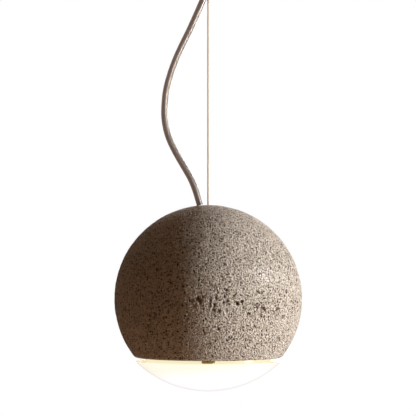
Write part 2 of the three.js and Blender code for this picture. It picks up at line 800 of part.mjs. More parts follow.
// The wire's lower end, with a steel barrel swaged on below the hanger plate.
function swagedWireEnd() {
  return turned([
    [0, underPlate - SWAGE_LENGTH],
    [SWAGE_RADIUS - EDGE, underPlate - SWAGE_LENGTH],
    [SWAGE_RADIUS, underPlate - SWAGE_LENGTH + EDGE],
    [SWAGE_RADIUS, underPlate],
    [WIRE_RADIUS, underPlate],
    [WIRE_RADIUS, SHADE_RADIUS - GAP / 2],
    [0, SHADE_RADIUS - GAP / 2],
  ]);
}

// ---- Flex and leads inside the shade ----

const innerFlexTop = SHADE_RADIUS - INNER_FLEX_INSET;
const innerFlexBottom = underPlate - CLAMP_LENGTH - INNER_FLEX_TAIL;

function innerFlex() {
  return rod(FLEX_RADIUS, innerFlexBottom, innerFlexTop).translate(FLEX_OFFSET, 0, 0);
}

function cordClamp() {
  const collar = ring(CLAMP_RADIUS, FLEX_RADIUS + GAP, underPlate - CLAMP_LENGTH, underPlate);
  return collar.translate(FLEX_OFFSET, 0, 0);
}

// ---- Glass bowl and lamp heights ----

const lipTop = -RIM_DROP - GLASS_DROP;
const bowlBottom = lipTop - GLASS_DEPTH;
const lipRadius = rimRadius - GLASS_INSET;
const neckRadius = mouthRadius - NECK_PLAY;
const neckTop = lipTop + GLASS_NECK_HEIGHT;
const lampBottom = bowlBottom + GLASS_WALL + LAMP_TRAVEL_ROOM;
const lampGlassTop = lampBottom + LAMP_GLASS_LENGTH;
const baseBottom = lampGlassTop + GAP;
const baseTop = baseBottom + LAMP_BASE_HEIGHT;
const holderBottom = baseTop - LAMP_BASE_SEAT;
const holderTop = holderBottom + HOLDER_HEIGHT;

// A core from the end of the sheath to a terminal, hanging clear of the stays.
function lampLead(layAngle, [x, y, height]) {
  const [layX, layY] = onCircle(CORE_LAY, layAngle);
  const startHeight = innerFlexBottom - GAP;
  const fall = startHeight - height;
  const points = [
    [FLEX_OFFSET + layX, layY, startHeight],
    [FLEX_OFFSET + layX, layY, startHeight - LAMP_LEAD_STRAIGHT],
    [FLEX_OFFSET + LAMP_LEAD_SPREAD * layX, y / 2, startHeight - fall * LAMP_LEAD_PARTING],
    [x, y, height + fall * LAMP_LEAD_PARTING],
    [x, y, height + LAMP_LEAD_DROP],
    [x, y, height],
  ];
  return tube(points, CORE_RADIUS, TINY, LAMP_LEAD_STEPS);
}

// ---- Tray, with the nuts and screws that hold it ----

const bridgeInner = Math.max(HOLDER_RADIUS, TRAY_LAMP_HOLE + TRAY_PLATE) + BRIDGE_PLAY;
const bridgeOuter = bridgeInner + BRIDGE_PLATE;
const bridgeScrewX = bridgeOuter + BRIDGE_FOOT / 2;
const trayRadius = mouthRadius - TRAY_PLAY;
const neckInner = neckRadius - GLASS_WALL;
const clipScrewRadius = neckInner - CLIP_SCREW_INSET;
const earthPoint = onCircle(EARTH_PITCH_RADIUS, EARTH_ANGLE);

// A pressed dish, white below, with its edge turned up and a rolled edge round the lamp's hole.
function reflectorTray() {
  const section = [
    [TRAY_LAMP_HOLE, trayBottom],
    [trayRadius - TRAY_BEND, trayBottom],
    [trayRadius, trayBottom + TRAY_BEND],
    [trayRadius, trayBottom + TRAY_FLANGE],
    [trayRadius - TRAY_PLATE, trayBottom + TRAY_FLANGE],
    [trayRadius - TRAY_PLATE, trayTop],
    [TRAY_LAMP_HOLE + TRAY_PLATE, trayTop],
    [TRAY_LAMP_HOLE + TRAY_PLATE, trayTop + TRAY_COLLAR],
    [TRAY_LAMP_HOLE, trayTop + TRAY_COLLAR],
    [TRAY_LAMP_HOLE, trayBottom],
  ];
  const holes = [
    ...stayAngles.map((angle) => throughHole(M4_HOLE, ...onCircle(STAY_PITCH_RADIUS, angle))),
    ...clipAngles.map((angle) => throughHole(M3_HOLE, ...onCircle(clipScrewRadius, angle))),
    ...[-1, 1].map((side) => throughHole(M3_HOLE, side * bridgeScrewX)),
    throughHole(M3_HOLE, ...earthPoint),
  ];
  return cut(turned(section, FINE), holes);
}

function rodNut(index) {
  const top = trayBottom - GAP;
  return nut(ROD_NUT_FLATS, STAY_RADIUS + GAP, top - ROD_NUT_HEIGHT, top).translate(
    ...onCircle(STAY_PITCH_RADIUS, stayAngles[index]),
    0,
  );
}

function earthScrew() {
  const length = TRAY_PLATE + GAP + SCREW_END;
  return slottedScrew(M3_RADIUS, M3_HEAD_RADIUS, M3_HEAD, length)
    .rotateX(2 * QUARTER)
    .translate(...earthPoint, trayTop + GAP);
}

// ---- Spring clips: brass strips that reach down outside the glass neck ----

const clipFootTop = trayBottom - GAP;
const clipLeafInner = neckRadius + GAP;
const clipTip = lipTop + GAP;

function springClip(index) {
  const footBottom = clipFootTop - CLIP_PLATE;
  const footEnd = clipScrewRadius - CLIP_SCREW_INSET;
  const leafOuter = clipLeafInner + CLIP_PLATE;
  const rimLevel = -RIM_DROP - CLIP_FLARE_DROP;
  const tipOuter = leafOuter + CLIP_FLARE;
  const tipInner = clipLeafInner + CLIP_FLARE;
  const outline = [
    [footEnd, footBottom],
    [clipLeafInner - CLIP_BEND, footBottom],
    [clipLeafInner, footBottom - CLIP_BEND],
    [clipLeafInner, rimLevel + CLIP_FLARE],
    [tipInner, rimLevel],
    [tipInner, clipTip],
    [tipOuter, clipTip],
    [tipOuter, rimLevel + EDGE],
    [leafOuter, rimLevel + CLIP_FLARE + EDGE],
    [leafOuter, clipFootTop - CLIP_BEND],
    [leafOuter - CLIP_BEND, clipFootTop],
    [footEnd, clipFootTop],
  ];
  const drill = rod(M3_HOLE, clipFootTop - DRILL_RUN, clipFootTop + DRILL_RUN);
  const hole = drill.translate(clipScrewRadius, 0, 0);
  return cut(strip(outline, CLIP_WIDTH), [hole]).rotateZ(clipAngles[index]);
}

function clipScrew(index) {
  const seat = clipFootTop - CLIP_PLATE - GAP;
  const length = trayTop - seat + SCREW_END;
  return slottedScrew(M3_RADIUS, M3_HEAD_RADIUS, M3_HEAD, length).translate(
    ...onCircle(clipScrewRadius, clipAngles[index]),
    seat,
  );
}

// ---- Opal glass diffuser ----

// A blown shallow bowl with a ground lip, and a straight neck inside it that the clips hold.
function glassDiffuser() {
  const edge = lipRadius - EDGE;
  const edgeHeight = lipTop - GLASS_LIP;
  const depth = edgeHeight - bowlBottom;
  const bowlRadius = (edge ** 2 + depth ** 2) / (2 * depth);
  const centre = bowlBottom + bowlRadius;
  const innerBowl = bowlRadius - GLASS_WALL;
  const outerAngle = Math.asin((edgeHeight - centre) / bowlRadius);
  const innerAngle = -Math.acos(neckInner / innerBowl);
  const section = [
    ...arc(bowlRadius, centre, -QUARTER, outerAngle, BOWL_STEP),
    [lipRadius, edgeHeight + EDGE / 2],
    [lipRadius, lipTop],
    [neckRadius, lipTop],
    [neckRadius, neckTop - EDGE],
    [neckRadius - EDGE, neckTop],
    [neckInner, neckTop],
    ...arc(innerBowl, centre, innerAngle, -QUARTER, BOWL_STEP),
  ];
  return turned(section, FINE);
}

// ---- Lampholder and its bridge ----

function lampholder() {
  const section = [
    [0, holderBottom],
    [HOLDER_RADIUS - HOLDER_CHAMFER, holderBottom],
    [HOLDER_RADIUS, holderBottom + HOLDER_CHAMFER],
    [HOLDER_RADIUS, holderTop - HOLDER_CHAMFER],
    [HOLDER_RADIUS - HOLDER_CHAMFER, holderTop],
    [0, holderTop],
  ];
  const socket = box(
    LAMP_BASE_LENGTH + 4 * GAP,
    LAMP_BASE_WIDTH + 4 * GAP,
    holderBottom - DRILL_RUN,
    baseTop + GAP,
  );
  const pinHoles = [-1, 1].map((side) =>
    rod(PIN_RADIUS + 2 * GAP, holderBottom, baseTop + PIN_LENGTH + PIN_ROOM).translate(
      (side * PIN_SPACING) / 2,
      0,
      0,
    ),
  );
  const screwHole = rod(M3_HOLE, holderTop - HOLDER_SCREW_HOLE, holderTop + DRILL_RUN, TINY);
  return cut(turned(section, MEDIUM), [socket, ...pinHoles, screwHole]);
}

// A bent strap that stands on the tray and carries the lampholder under its top.
function lampholderBridge() {
  const top = holderTop + GAP;
  const foot = trayTop + GAP;
  const end = bridgeOuter + BRIDGE_FOOT;
  const right = [
    [bridgeInner, top],
    [bridgeInner, foot],
    [end, foot],
    [end, foot + BRIDGE_PLATE],
    [bridgeOuter, foot + BRIDGE_PLATE],
    [bridgeOuter, top + BRIDGE_PLATE],
  ];
  const left = right.map(([x, z]) => [-x, z]).reverse();
  const bent = strip([...left, ...right], BRIDGE_WIDTH);
  const holes = [-1, 1].map((side) =>
    rod(M3_HOLE, foot - DRILL_RUN, foot + DRILL_RUN).translate(side * bridgeScrewX, 0, 0),
  );
  return cut(bent, [...holes, rod(M3_HOLE, holderTop - DRILL_RUN, holderTop + DRILL_RUN)]);
}

function bridgeScrew(side) {
  const seat = trayTop + GAP + BRIDGE_PLATE + GAP;
  const length = seat - trayBottom + SCREW_END;
  return slottedScrew(M3_RADIUS, M3_HEAD_RADIUS, M3_HEAD, length)
    .rotateX(2 * QUARTER)
    .translate(side * bridgeScrewX, 0, seat);
}

function holderScrew() {
  const seat = holderTop + GAP + BRIDGE_PLATE + GAP;
  return slottedScrew(M3_RADIUS, M3_HEAD_RADIUS, M3_HEAD, HOLDER_SCREW)
    .rotateX(2 * QUARTER)
    .translate(0, 0, seat);
}

// ---- Lamp ----

// A round-ended glass tube, open at the top, over a light strip.
function lampEnvelope() {
  const bulbCentre = lampBottom + LAMP_RADIUS;
  const inner = LAMP_RADIUS - LAMP_GLASS_WALL;
  const section = [
    ...arc(LAMP_RADIUS, bulbCentre, -QUARTER, 0, BULB_STEP),
    [LAMP_RADIUS, lampGlassTop],
    [inner, lampGlassTop],
    ...arc(inner, bulbCentre, 0, -QUARTER, BULB_STEP),
  ];
  return turned(section, MEDIUM);
}

function lightStrip() {
  const low = lampBottom + LIGHT_STRIP_RISE;
  return box(LIGHT_STRIP_WIDTH, LIGHT_STRIP_THICKNESS, low, lampGlassTop - LIGHT_STRIP_GAP);
}

function lampBase() {
  const halfLength = LAMP_BASE_LENGTH / 2;
  const halfWidth = LAMP_BASE_WIDTH / 2;
  const outline = new THREE.Shape();
  const straight = halfLength - halfWidth;
  outline.absarc(straight, 0, halfWidth, -QUARTER, QUARTER);
  outline.absarc(-straight, 0, halfWidth, QUARTER, 3 * QUARTER);
  return prism(outline, baseBottom, baseTop);
}

function lampPin(side) {
  const low = baseTop + GAP;
  return rod(PIN_RADIUS, low, low + PIN_LENGTH, TINY).translate((side * PIN_SPACING) / 2, 0, 0);
}

const shadeParts = new THREE.Group();
shadeParts.position.z = -DROP - SHADE_RADIUS;
shadeParts.add(piece("concrete_shade", concreteShade(), CONCRETE));
shadeParts.add(piece("cushion_washer", cushionWasher(), RUBBER));
shadeParts.add(piece("hanger_frame", hangerFrame(), STEEL));
shadeParts.add(piece("swaged_wire_end", swagedWireEnd(), STEEL));
shadeParts.add(piece("inner_flex", innerFlex(), CLEAR_SHEATH));
shadeParts.add(piece("cord_clamp", cordClamp(), NYLON));
const frontTerminal = [TERMINAL_OFFSET, -HOLDER_RADIUS + TERMINAL_INSET, holderTop + GAP];
const backTerminal = [-TERMINAL_OFFSET, HOLDER_RADIUS - TERMINAL_INSET, holderTop + GAP];
const earthTerminal = [...earthPoint, trayTop + 2 * GAP + M3_HEAD];
shadeParts.add(piece("lamp_lead_live", lampLead(-QUARTER, frontTerminal), BROWN_CORE));
shadeParts.add(piece("lamp_lead_neutral", lampLead(THIRD - QUARTER, backTerminal), BLUE_CORE));
shadeParts.add(piece("lamp_lead_earth", lampLead(2 * THIRD - QUARTER, earthTerminal), EARTH_CORE));
shadeParts.add(piece("reflector_tray", reflectorTray(), WHITE_PAINT));
shadeParts.add(piece("earth_screw", earthScrew(), BRASS));
for (let i = 0; i < 3; i += 1) {
  shadeParts.add(piece(`rod_nut_${i + 1}`, rodNut(i), STEEL));
  shadeParts.add(piece(`spring_clip_${i + 1}`, springClip(i), BRASS));
  shadeParts.add(piece(`clip_screw_${i + 1}`, clipScrew(i), STEEL));
}
shadeParts.add(piece("lampholder", lampholder(), CERAMIC));
shadeParts.add(piece("lampholder_bridge", lampholderBridge(), STEEL));
shadeParts.add(piece("bridge_screw_1", bridgeScrew(-1), STEEL));
shadeParts.add(piece("bridge_screw_2", bridgeScrew(1), STEEL));
shadeParts.add(piece("holder_screw", holderScrew(), STEEL));
shadeParts.add(piece("glass_diffuser", glassDiffuser(), OPAL_GLASS));
shadeParts.add(piece("lamp_envelope", lampEnvelope(), CLEAR_GLASS));
shadeParts.add(piece("light_strip", lightStrip(), NYLON));
shadeParts.add(piece("lamp_base", lampBase(), CERAMIC));
shadeParts.add(piece("lamp_pin_1", lampPin(-1), STEEL));
shadeParts.add(piece("lamp_pin_2", lampPin(1), STEEL));

const pendantLight = new THREE.Group();
pendantLight.add(ceilingParts, powerFlex, suspensionWire, shadeParts);

export default pendantLight;
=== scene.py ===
import math
import random

import bmesh
import bpy
import numpy as np
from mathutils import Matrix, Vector, kdtree, noise


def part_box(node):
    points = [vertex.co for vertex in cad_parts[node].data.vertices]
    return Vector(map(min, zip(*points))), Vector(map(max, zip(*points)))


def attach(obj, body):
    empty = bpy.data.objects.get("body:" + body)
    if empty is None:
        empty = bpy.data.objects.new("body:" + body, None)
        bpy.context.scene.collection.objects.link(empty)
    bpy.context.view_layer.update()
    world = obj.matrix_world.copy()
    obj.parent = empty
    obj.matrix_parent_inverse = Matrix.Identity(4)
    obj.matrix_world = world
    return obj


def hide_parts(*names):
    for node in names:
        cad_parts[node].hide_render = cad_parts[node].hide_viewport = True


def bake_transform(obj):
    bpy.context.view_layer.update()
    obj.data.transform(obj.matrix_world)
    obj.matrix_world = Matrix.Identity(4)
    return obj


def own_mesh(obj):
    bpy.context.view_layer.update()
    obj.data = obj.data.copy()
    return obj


# A pendant light on a ceiling: a hollow concrete ball with an opal glass bowl below it, hung on a
# steel rope and fed by a clear flex. Lengths are metres, +Z is up, and the ceiling is at height zero.

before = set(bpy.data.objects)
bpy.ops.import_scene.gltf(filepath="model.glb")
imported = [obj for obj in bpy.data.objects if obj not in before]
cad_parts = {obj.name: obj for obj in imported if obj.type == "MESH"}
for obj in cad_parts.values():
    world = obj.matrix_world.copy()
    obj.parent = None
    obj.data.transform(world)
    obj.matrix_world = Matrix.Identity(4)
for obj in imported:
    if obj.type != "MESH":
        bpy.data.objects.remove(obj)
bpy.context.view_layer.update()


# Camera. It stands well back and looks level, so that the ball is seen almost without perspective.
# It is set by the ball's middle: a little left of it, and above it to take in rope and flex.

RIM_DROP = 0.056
RIM_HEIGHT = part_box("concrete_shade")[0].z
BALL_MIDDLE = Vector((0, 0, RIM_HEIGHT + RIM_DROP))
VIEW_DISTANCE = 2.56
VIEW_RISE = 0.0872
VIEW_LEFT = 0.0002
FILM_WIDTH = 36
LENS_LENGTH = 230.6

lens = bpy.data.cameras.new("camera")
lens.sensor_width = FILM_WIDTH
lens.lens = LENS_LENGTH
camera = bpy.data.objects.new("camera", lens)
camera.location = BALL_MIDDLE + Vector((-VIEW_LEFT, -VIEW_DISTANCE, VIEW_RISE))
camera.rotation_euler = (math.pi / 2, 0, 0)
bpy.context.scene.collection.objects.link(camera)
bpy.context.scene.camera = camera
bpy.context.scene.view_settings.view_transform = "Standard"


# Ceiling bracket: a bar of zinc-plated steel strip, bent down at both ends, with two long slots for
# the ceiling screws. The plating is a little cloudy, with a fine grain along the strip.

WELD_DISTANCE = 1e-5
SHARP_DEGREES = 40
LARGE_EDGE = 3e-4
SMALL_EDGE = 2e-4


def put(finish, kind, inputs=None, **settings):
    """Adds a node to a finish. An input is a value, or another node's output."""
    made = finish.node_tree.nodes.new("ShaderNode" + kind)
    for name, value in settings.items():
        setattr(made, name, value)
    for name, value in (inputs or {}).items():
        join(finish, value, made.inputs[name])
    return made


def join(finish, value, socket):
    if isinstance(value, bpy.types.NodeSocket):
        finish.node_tree.links.new(value, socket)
    else:
        socket.default_value = value


def new_finish(name, **surface):
    """A material with its one shader. Surface values go straight on that shader's sockets."""
    finish = bpy.data.materials.new(name)
    finish.use_nodes = True
    skin = finish.node_tree.nodes["Principled BSDF"]
    for socket, value in surface.items():
        skin.inputs[socket.replace("_", " ")].default_value = value
    return finish, skin


def grained(finish, stretch, detail=4):
    """Noise in the piece's own space. Stretch is how many spots a metre holds along X, Y and Z."""
    place = put(finish, "TexCoord").outputs["Object"]
    scaled = put(finish, "VectorMath", {0: place, 1: stretch}, operation="MULTIPLY")
    return put(finish, "TexNoise", {"Vector": scaled.outputs[0], "Scale": 1, "Detail": detail}).outputs["Fac"]


def between(finish, amount, low, high, out_low=0.0, out_high=1.0):
    spread = {"Value": amount, "From Min": low, "From Max": high, "To Min": out_low, "To Max": out_high}
    return put(finish, "MapRange", spread).outputs["Result"]


def tinted(finish, amount, first, second, how="MIX"):
    """A colour between two, by an amount from 0 to 1. A colour is three numbers, or a node's output."""
    blend = put(finish, "Mix", data_type="RGBA", blend_type=how)
    join(finish, amount, blend.inputs[0])
    for colour, socket in ((first, 6), (second, 7)):
        join(finish, (*colour, 1) if isinstance(colour, tuple) else colour, blend.inputs[socket])
    return blend.outputs[2]


def raised(finish, skin, height, depth):
    """Relief on the surface, depth metres high."""
    bump = put(finish, "Bump", {"Height": height, "Distance": depth, "Strength": 1.0})
    join(finish, bump.outputs[0], skin.inputs["Normal"])


def metal(name, dark, light, stretch, rough, relief):
    """Metal of a cloudy tone, with a grain along one way that its roughness and relief follow."""
    finish, skin = new_finish(name, Metallic=1.0)
    lines = grained(finish, stretch)
    clouds = between(finish, grained(finish, (60, 60, 60)), 0.3, 0.7)
    join(finish, tinted(finish, clouds, dark, light), skin.inputs["Base Color"])
    join(finish, between(finish, lines, 0.25, 0.75, *rough), skin.inputs["Roughness"])
    raised(finish, skin, lines, relief)
    return finish


def wear(node, finish):
    """Gives a CAD piece its finish."""
    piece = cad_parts[node]
    piece.data.materials.clear()
    piece.data.materials.append(finish)
    return piece


def soften(piece, edge):
    """Welds a CAD piece's faces together and rounds its sharp edges."""
    weld = piece.modifiers.new("weld", "WELD")
    weld.merge_threshold = WELD_DISTANCE
    bevel = piece.modifiers.new("edge", "BEVEL")
    bevel.width = edge
    bevel.segments = 2
    bevel.limit_method = "ANGLE"
    bevel.angle_limit = math.radians(SHARP_DEGREES)
    bevel.harden_normals = True


zinc_strip = metal(
    "zinc_strip", (0.50, 0.50, 0.48), (0.66, 0.66, 0.64),
    stretch=(60, 2500, 2500), rough=(0.24, 0.46), relief=4e-5,
)
soften(wear("ceiling_bracket", zinc_strip), LARGE_EDGE)


# Canopy: a cup spun from thin steel sheet and plated in satin nickel. It closes over the bracket,
# has a rounded corner below, and shows the fine rings that the spinning and brushing leave.

CANOPY_RADIUS = 0.050
CANOPY_HEIGHT = 0.030
CANOPY_WALL = 0.0012
CANOPY_CORNER = 0.004
CANOPY_SCREW_HEIGHT = -0.009
CANOPY_EDGE = 0.0003
CORD_GRIP_OFFSET = 0.016
GRIPPER_HOLE = 0.0053
CORD_GRIP_HOLE = 0.0063
SIDE_SCREW_HOLE = 0.0023
MIDDLE_POINT = 0.0005


def solid(name, points, faces, finish, body):
    """A smooth-shaded mesh that moves with a body."""
    mesh = bpy.data.meshes.new(name)
    mesh.from_pydata([tuple(point) for point in points], [], faces)
    mesh.materials.append(finish)
    mesh.update()
    piece = bpy.data.objects.new(name, mesh)
    bpy.context.scene.collection.objects.link(piece)
    mesh.polygons.foreach_set("use_smooth", [True] * len(mesh.polygons))
    if body:
        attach(piece, body)
    return piece


def corner(start, turn, end, count=6):
    """Points that round off a corner of a section, from start to end."""
    steps = [index / count for index in range(count + 1)]
    return [
        tuple((1 - t) ** 2 * a + 2 * t * (1 - t) * b + t * t * c for a, b, c in zip(start, turn, end))
        for t in steps
    ]


def turned(section, sides, closed=True):
    """Points and faces of a section turned about Z. A section point is (radius, height)."""
    points = [
        (radius * math.cos(turn), radius * math.sin(turn), height)
        for radius, height in section
        for turn in (2 * math.pi * index / sides for index in range(sides))
    ]
    rows = len(section) if closed else len(section) - 1
    faces = []
    for row in range(rows):
        a, b = row * sides, ((row + 1) % len(section)) * sides
        faces += [(a + i, a + (i + 1) % sides, b + (i + 1) % sides, b + i) for i in range(sides)]
    return points, faces


def drilled(piece, holes):
    """Cuts round holes through a piece. A hole is (radius, length, middle, turn)."""
    for radius, length, middle, turn in holes:
        bpy.ops.mesh.primitive_cylinder_add(
            vertices=48, radius=radius, depth=length, location=middle, rotation=turn,
        )
        drill = bpy.context.object
        cut = piece.modifiers.new("hole", "BOOLEAN")
        cut.object = drill
        depsgraph = bpy.context.evaluated_depsgraph_get()
        shape = bpy.data.meshes.new_from_object(piece.evaluated_get(depsgraph))
        piece.modifiers.remove(cut)
        piece.data = shape
        bpy.data.objects.remove(drill)


def crease(piece, degrees=30):
    """Shades a mesh smooth apart from its sharp corners."""
    piece.data.set_sharp_from_angle(angle=math.radians(degrees))


def maths(finish, first, how, second):
    return put(finish, "Math", {0: first, 1: second}, operation=how).outputs[0]


satin_nickel, skin = new_finish("satin_nickel", Metallic=1.0)
place = put(satin_nickel, "TexCoord").outputs["Object"]
parts = put(satin_nickel, "SeparateXYZ", {0: place})
across = put(satin_nickel, "CombineXYZ", {"X": parts.outputs["X"], "Y": parts.outputs["Y"]})
from_axis = put(satin_nickel, "VectorMath", {0: across.outputs[0]}, operation="LENGTH").outputs["Value"]
spun = put(satin_nickel, "CombineXYZ", {"X": from_axis, "Z": parts.outputs["Z"]})
ring_noise = put(satin_nickel, "TexNoise", {"Vector": spun.outputs[0], "Scale": 2600.0, "Detail": 3.0})
rings = ring_noise.outputs["Fac"]
smudges = grained(satin_nickel, (45, 45, 45))
smudge_share = between(satin_nickel, smudges, 0.35, 0.7)
plate_tone = tinted(satin_nickel, smudge_share, (0.60, 0.57, 0.52), (0.70, 0.67, 0.62))
join(satin_nickel, plate_tone, skin.inputs["Base Color"])
ring_rough = between(satin_nickel, rings, 0.3, 0.7, 0.20, 0.36)
smudge_rough = between(satin_nickel, smudges, 0.5, 0.8, 0.0, 0.12)
join(satin_nickel, maths(satin_nickel, ring_rough, "ADD", smudge_rough), skin.inputs["Roughness"])
raised(satin_nickel, skin, rings, 2e-5)

inner = CANOPY_RADIUS - CANOPY_WALL
inner_corner = CANOPY_CORNER - CANOPY_WALL
canopy_floor = CANOPY_WALL - CANOPY_HEIGHT
canopy_section = [
    (MIDDLE_POINT, -CANOPY_HEIGHT),
    (CANOPY_RADIUS / 2, -CANOPY_HEIGHT),
    *corner(
        (CANOPY_RADIUS - CANOPY_CORNER, -CANOPY_HEIGHT),
        (CANOPY_RADIUS, -CANOPY_HEIGHT),
        (CANOPY_RADIUS, CANOPY_CORNER - CANOPY_HEIGHT),
    ),
    (CANOPY_RADIUS, -CANOPY_EDGE),
    (CANOPY_RADIUS - CANOPY_EDGE, 0),
    (inner + CANOPY_EDGE, 0),
    (inner, -CANOPY_EDGE),
    *corner(
        (inner, canopy_floor + inner_corner), (inner, canopy_floor), (inner - inner_corner, canopy_floor),
    ),
    (CANOPY_RADIUS / 2, canopy_floor),
    (MIDDLE_POINT, canopy_floor),
]
canopy = solid("canopy", *turned(canopy_section, 128), satin_nickel, None)
through_floor, through_sides = 0.01, 0.12
drilled(canopy, [
    (GRIPPER_HOLE, through_floor, (0, 0, canopy_floor), (0, 0, 0)),
    (CORD_GRIP_HOLE, through_floor, (CORD_GRIP_OFFSET, 0, canopy_floor), (0, 0, 0)),
    (SIDE_SCREW_HOLE, through_sides, (0, 0, CANOPY_SCREW_HEIGHT), (0, math.pi / 2, 0)),
])
crease(canopy)
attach(canopy, "ceiling")
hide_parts("canopy_cup")


# Canopy screws: two slotted screws of nickel-plated steel that go in from the sides and hold the
# cup to the bracket's legs.

for node in ("canopy_screw_1", "canopy_screw_2"):
    soften(wear(node, satin_nickel), SMALL_EDGE)


# Wire gripper: a turned, nickel-plated body clamped through the canopy's floor. Three steel balls in
# a cone hold the rope, a coil spring of round wire keeps them down, and the plunger below lets the rope
# run when pressed, which shortens the spring.

SPRING_RADIUS = 0.0025
SPRING_WIRE = 0.00035
SPRING_TURNS = 5
STEPS_IN_TURN = 32


def spun_tube(path, sides, outline, turn_at):
    """Points and faces of a tube along a path. The outline turns about it by an angle for each point, and
    sides are the two directions across the path there."""
    points = []
    for index, (spot, (first, second)) in enumerate(zip(path, sides)):
        twist = turn_at[index]
        points += [
            spot + reach * (math.cos(turn + twist) * first + math.sin(turn + twist) * second)
            for reach, turn, _ in outline
        ]
    count = len(outline)
    faces = []
    for row in range(len(path) - 1):
        a, b = row * count, (row + 1) * count
        faces += [(a + i, a + (i + 1) % count, b + (i + 1) % count, b + i) for i in range(count)]
    faces.append(tuple(range(count))[::-1])
    faces.append(tuple(range((len(path) - 1) * count, len(path) * count)))
    return points, faces


def round_outline(radius, count):
    return [(radius, 2 * math.pi * index / count, 0) for index in range(count)]


for node in ("gripper_body", "gripper_plunger"):
    soften(wear(node, satin_nickel), SMALL_EDGE)

turned_steel = metal(
    "turned_steel", (0.46, 0.45, 0.43), (0.60, 0.59, 0.56),
    stretch=(300, 300, 4000), rough=(0.22, 0.42), relief=3e-5,
)
for node in ("gripper_nut", "gripper_cap", "spring_washer"):
    soften(wear(node, turned_steel), SMALL_EDGE)

polished_steel = metal(
    "polished_steel", (0.62, 0.62, 0.61), (0.72, 0.72, 0.71),
    stretch=(900, 900, 900), rough=(0.08, 0.2), relief=1e-5,
)
for node in ("grip_ball_1", "grip_ball_2", "grip_ball_3"):
    wear(node, polished_steel)

spring_steel = metal(
    "spring_steel", (0.20, 0.19, 0.18), (0.34, 0.32, 0.29),
    stretch=(1500, 1500, 1500), rough=(0.25, 0.5), relief=1e-5,
)
spring_low, spring_high = (end.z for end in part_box("grip_spring"))
coil_climb = spring_high - spring_low - 2 * SPRING_WIRE
coil_count = SPRING_TURNS * STEPS_IN_TURN
coil_path, coil_sides = [], []
for index in range(coil_count + 1):
    turn = 2 * math.pi * index / STEPS_IN_TURN
    outwards = Vector((math.cos(turn), math.sin(turn), 0))
    rise = Vector((0, 0, spring_low + SPRING_WIRE + coil_climb * index / coil_count))
    coil_path.append(outwards * SPRING_RADIUS + rise)
    coil_sides.append((Vector((0, 0, 1)), outwards))
coil_shape = spun_tube(coil_path, coil_sides, round_outline(SPRING_WIRE, 12), [0] * len(coil_path))
spring = solid("spring", *coil_shape, spring_steel, "release")
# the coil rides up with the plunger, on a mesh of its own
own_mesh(spring)
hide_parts("grip_spring")


# Suspension rope: three strands of steel wire laid together, 2 mm thick. It is pulled straight by the
# shade's weight, and its surplus end goes up through the gripper to a crimped sleeve.

ROPE_RADIUS = 0.001
ROPE_LAY = 0.0078
ROPE_STRANDS = 3
WIRES_IN_STRAND = 7
ROPE_STEP = 0.0004
ROPE_MARK_STRETCH = 2
rope_low, rope_high = (end.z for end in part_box("suspension_wire"))


def wired_rope(name):
    """Rope steel, painted darker in the grooves between its strands as shade. Its marks follow the strands,
    by how far round and along the rope a spot is.
    """
    finish, skin = new_finish(name, Metallic=0.4)
    groove = put(finish, "Attribute", attribute_name="groove").outputs["Fac"]
    round_strand = put(finish, "Attribute", attribute_name="round_strand").outputs["Fac"]
    along = put(finish, "Attribute", attribute_name="along").outputs["Fac"]
    slant = put(finish, "CombineXYZ", {"X": round_strand, "Y": along})
    mark_noise = put(finish, "TexNoise", {"Vector": slant.outputs[0], "Scale": 260.0, "Detail": 3.0})
    marks = mark_noise.outputs["Fac"]
    # painted shade in the grooves between strands, with the marks' uneven tone over it
    painted_groove_shade_and_marks = maths(finish, groove, "MULTIPLY", between(finish, marks, 0.3, 0.7, 0.8, 1.0))
    join(finish, tinted(finish, painted_groove_shade_and_marks, (0.22, 0.15, 0.11), (1.0, 0.90, 0.80)), skin.inputs["Base Color"])
    join(finish, between(finish, marks, 0.3, 0.7, 0.55, 0.75), skin.inputs["Roughness"])
    wire_turns = maths(finish, round_strand, "MULTIPLY", WIRES_IN_STRAND * 2 * math.pi)
    ripple = put(finish, "Math", {0: wire_turns}, operation="SINE").outputs[0]
    raised(finish, skin, ripple, 2e-5)
    return finish


def laid_strands(radius, strands, around):
    """Outline of strands that touch in a ring: each corner's radius, angle and place round its strand."""
    strand = radius * math.sin(math.pi / strands) / (1 + math.sin(math.pi / strands))
    middle = radius - strand
    outline = []
    for index in range(around):
        turn = 2 * math.pi * index / around
        off = (turn + math.pi / strands) % (2 * math.pi / strands) - math.pi / strands
        reach = middle * math.cos(off) + math.sqrt(max(0.0, strand**2 - (middle * math.sin(off)) ** 2))
        outline.append((reach, turn, off * strands / (2 * math.pi)))
    return outline


def note(piece, name, values):
    """Stores one number at each point of the mesh, for its finish to read."""
    held = piece.data.attributes.new(name, "FLOAT", "POINT")
    held.data.foreach_set("value", np.asarray(values, np.float32))


def crowns(outline, radius, sharpness):
    """How far each corner of an outline stands out of the grooves, from 0 to 1."""
    deepest = min(reach for reach, _, _ in outline)
    return [((reach - deepest) / (radius - deepest)) ** sharpness for reach, _, _ in outline]


rope_finish = wired_rope("rope_steel")
rope_count = round((rope_high - rope_low) / ROPE_STEP)
rope_rise = (rope_high - rope_low) / rope_count
rope_path = [Vector((0, 0, rope_low + rope_rise * index)) for index in range(rope_count + 1)]
rope_outline = laid_strands(ROPE_RADIUS, ROPE_STRANDS, 48)
rope_turn = [2 * math.pi * (spot.z - rope_low) / ROPE_LAY for spot in rope_path]
upright = [(Vector((1, 0, 0)), Vector((0, 1, 0)))] * len(rope_path)
rope = solid("rope", *spun_tube(rope_path, upright, rope_outline, rope_turn), rope_finish, "wire")
note(rope, "groove", crowns(rope_outline, ROPE_RADIUS, 1.6) * len(rope_path))
note(rope, "round_strand", [share for _, _, share in rope_outline] * len(rope_path))
note(rope, "along", [spot.z * ROPE_MARK_STRETCH for spot in rope_path for _ in rope_outline])
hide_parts("suspension_wire")

